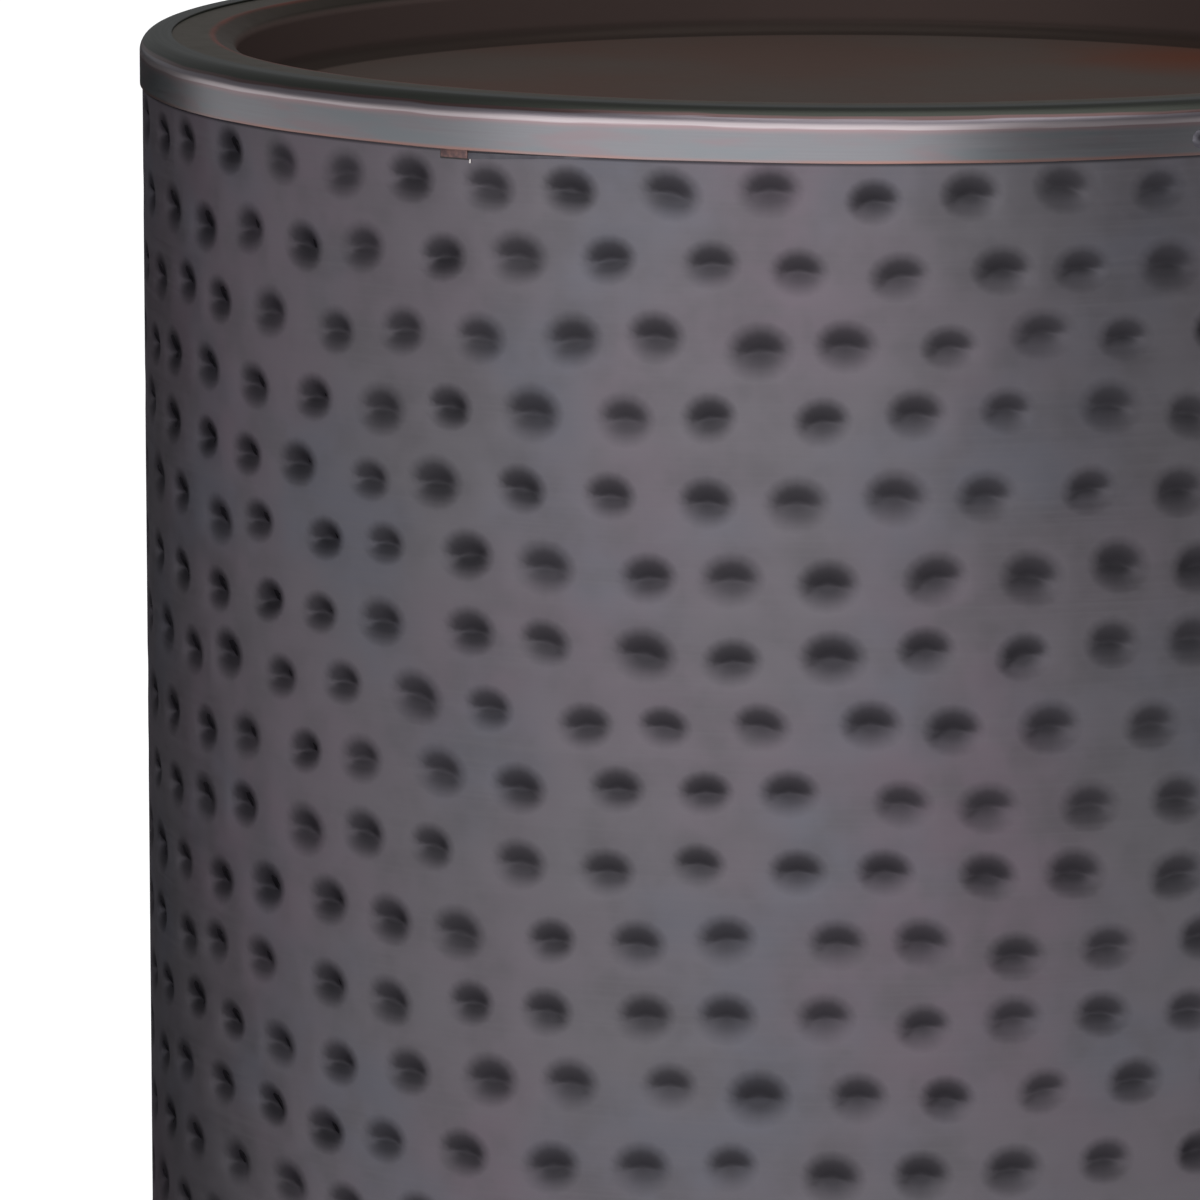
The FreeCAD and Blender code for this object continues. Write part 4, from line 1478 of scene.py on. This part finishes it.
@dataclass
class Studio:
    """Pale floor, soft light from the front left and the camera at the photograph's angle."""

    image_px: int = 1200
    axis_px: float = 850.0
    focal_px: float = 8530.0
    sensor_mm: float = 36.0
    camera_distance: float = 2.4
    camera_height: float = 0.712
    camera_pitch: float = 9.83
    view_end: float = 100.0
    floor_radius: float = 30.0
    floor_corners: int = 64
    floor_roughness: float = 0.9
    floor_colour: str = "#bcbcbc"
    floor_glow: float = 0.75
    world_colour: str = "#868789"
    world_strength: float = 1.0
    grey_felt: str = "#9c9c9c"
    black_felt: str = "#1e1e1e"
    sun_height: float = 3.0

    def lay_floor(self) -> None:
        """Adds the floor."""
        bpy.ops.object.select_all(action="DESELECT")
        bpy.ops.mesh.primitive_circle_add(
            vertices=self.floor_corners, radius=self.floor_radius, fill_type="NGON")
        floor = start_piece("studio_floor")
        # A matt pale floor that glows where it is seen or mirrored: it turns white and keeps the shadow
        paint, node = start_material("pale_studio_floor")
        path = node("LightPath").node.outputs
        seen = node("Math", {0: path["Is Camera Ray"], 1: path["Is Glossy Ray"]}, operation="MAXIMUM")
        seen = node("Math", {0: seen, 1: path["Is Transmission Ray"]}, operation="MAXIMUM")
        glow = node("Math", {0: seen, 1: self.floor_glow}, operation="MULTIPLY")
        shader = node("BsdfPrincipled", {
            "Base Color": linear(self.floor_colour), "Roughness": self.floor_roughness,
            "Specular IOR Level": 0.0, "Emission Color": (1, 1, 1, 1), "Emission Strength": glow})
        node("OutputMaterial", {"Surface": shader})
        floor.data.materials.append(paint)

    def light(self) -> None:
        """Adds the world, the lamps and the cards that shade the metal's reflections."""
        world = bpy.context.scene.world or bpy.data.worlds.new("studio_world")
        bpy.context.scene.world = world
        world.use_nodes = True
        sky = world.node_tree.nodes["Background"]
        sky.inputs["Color"].default_value = linear(self.world_colour)
        sky.inputs["Strength"].default_value = self.world_strength
        self.panel("key_panel", azimuth=-17, distance=1.3, size=(2.0, 0.9), height=0.62, radiance=1.25)
        self.sun("overhead_sun", azimuth=20, elevation=65, angle=70, strength=1.6)
        grey, black = self.grey_felt, self.black_felt
        self.flag("right_flag", azimuth=37, distance=1.2, size=(0.95, 0.3), lift=0.2, colour=grey)
        self.flag("side_flag", azimuth=98, distance=1.1, size=(0.85, 0.5), lift=0.0, colour=black)
        self.flag("back_flag", azimuth=-155, distance=0.9, size=(1.3, 0.45), lift=0.0, colour=black)
        self.flag("back_mat", azimuth=-148, distance=0.72, size=(1.3, 0.9), lift=0.002, colour=black,
                  tilt=0)

    def panel(self, name: str, azimuth: float, distance: float, size: Pair, height: float,
              radiance: float) -> None:
        """Adds an upright softbox that faces the drum.

        Args:
            name: Name of the lamp.
            azimuth: Angle round the drum, from the front.
            distance: Distance from the drum's axis.
            size: Width and height.
            height: Height of its middle.
            radiance: Brightness of its face.
        """
        turn = math.radians(azimuth)
        place = Vector((distance * math.sin(turn), -distance * math.cos(turn), height))
        bpy.ops.object.light_add(type="AREA", location=place)
        lamp = bpy.context.object
        lamp.name = name
        lamp.data.shape = "RECTANGLE"
        lamp.data.size, lamp.data.size_y = size
        lamp.data.energy = radiance * math.pi * size[0] * size[1]
        lamp.rotation_euler = (math.radians(90), 0, turn)
        lamp.visible_camera = False

    def flag(self, name: str, azimuth: float, distance: float, size: Pair, lift: float, colour: str,
             tilt: float = 90) -> None:
        """Sets up a felt card that only shows as a reflection in the metal.

        Args:
            name: Name of the card.
            azimuth: Angle round the drum, from the front.
            distance: Distance from the drum's axis.
            size: Width and height.
            lift: Height of its lower edge over the floor.
            colour: Colour of its felt.
            tilt: Angle to the floor, in degrees.
        """
        turn = math.radians(azimuth)
        slope = math.radians(tilt)
        middle = lift + math.sin(slope) * size[1] / 2
        place = (distance * math.sin(turn), -distance * math.cos(turn), middle)
        bpy.ops.object.select_all(action="DESELECT")
        bpy.ops.mesh.primitive_plane_add(size=1, location=place, rotation=(slope, 0, turn))
        card = start_piece(name)
        card.scale = (size[0], size[1], 1)
        bpy.ops.object.transform_apply(location=True, rotation=True, scale=True)
        # Felt takes the light evenly and has no sheen
        felt, node = start_material("felt_card")
        shader = node("BsdfPrincipled", {
            "Base Color": linear(colour), "Roughness": 1.0, "Specular IOR Level": 0.0})
        node("OutputMaterial", {"Surface": shader})
        card.data.materials.append(felt)
        card.visible_camera = card.visible_diffuse = card.visible_shadow = card.visible_transmission = False

    def sun(self, name: str, azimuth: float, elevation: float, angle: float, strength: float) -> None:
        """Adds a wide soft lamp far away.

        Args:
            name: Name of the lamp.
            azimuth: Angle round the drum, from the front.
            elevation: Angle above the floor.
            angle: Width of the lamp in degrees.
            strength: Light on a face turned to it.
        """
        bpy.ops.object.light_add(type="SUN", location=(0, 0, self.sun_height))
        lamp = bpy.context.object
        lamp.name = name
        lamp.data.energy = strength
        lamp.data.angle = math.radians(angle)
        lamp.rotation_euler = (math.radians(90 - elevation), 0, math.radians(azimuth))

    def set_camera(self) -> None:
        """Adds the camera."""
        yaw = math.atan((self.axis_px - self.image_px / 2) / self.focal_px)
        bpy.ops.object.camera_add(location=(0, -self.camera_distance, self.camera_height))
        camera = bpy.context.object
        camera.name = "photo_camera"
        camera.rotation_euler = (math.radians(90 - self.camera_pitch), 0, yaw)
        camera.data.sensor_width = self.sensor_mm
        camera.data.lens = self.sensor_mm * self.focal_px / self.image_px
        camera.data.clip_end = self.view_end
        bpy.context.scene.camera = camera

    def build(self) -> None:
        """Sets the stage."""
        self.lay_floor()
        self.light()
        self.set_camera()
        bpy.context.scene.view_settings.view_transform = "Standard"


def main() -> None:
    """Builds the sub-assemblies in order."""
    logging.basicConfig(level=logging.INFO, format="%(name)s %(message)s")
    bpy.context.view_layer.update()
    shell_low, shell_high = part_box("drum_shell")
    rim_low, rim_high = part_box("rim_band")
    base_low, base_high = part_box("base_band")
    tray_low, tray_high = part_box("top_tray")
    ring_low, ring_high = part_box("top_ring")
    strip_low, strip_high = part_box("seam_strip")
    tab_low, tab_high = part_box("rim_lap_tab")
    rim_rivet_low, rim_rivet_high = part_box("rim_rivets")
    base_rivet_low, base_rivet_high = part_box("base_rivets")
    drum = HammeredDrum(shell_high.x, shell_low.z, shell_high.z, rim_low.z, base_high.z)
    drum.dress(drum.build())
    rim = BandHoop(End.RIM, "rim_band", rim_high.x, rim_high.z, rim_low.z)
    base = BandHoop(End.BASE, "base_band", base_high.x, base_low.z, base_high.z)
    for hoop in (rim, base):
        hoop.dress(hoop.build())
    tray = TrayPan(tray_high.x, tray_high.z, tray_low.z)
    tray.dress(tray.build())
    stiffeners = DrumStiffeners(
        shell_high.x, ring_low.z, ring_high.z, strip_low.z, strip_high.z, strip_high.x)
    stiffeners.dress(*stiffeners.build())
    lap = LapTab(shell_high.x, tab_low.z, tab_high.z)
    lap.dress(*lap.build())
    rim_row = RivetRow(End.RIM, "rim_rivets", rim_high.x, rim_rivet_low.z, rim_rivet_high.z)
    base_row = RivetRow(End.BASE, "base_rivets", base_high.x, base_rivet_low.z, base_rivet_high.z)
    for row in (rim_row, base_row):
        row.dress(row.build())
    HiddenFrame().dress()
    Studio().build()


if __name__ == "__main__":
    main()
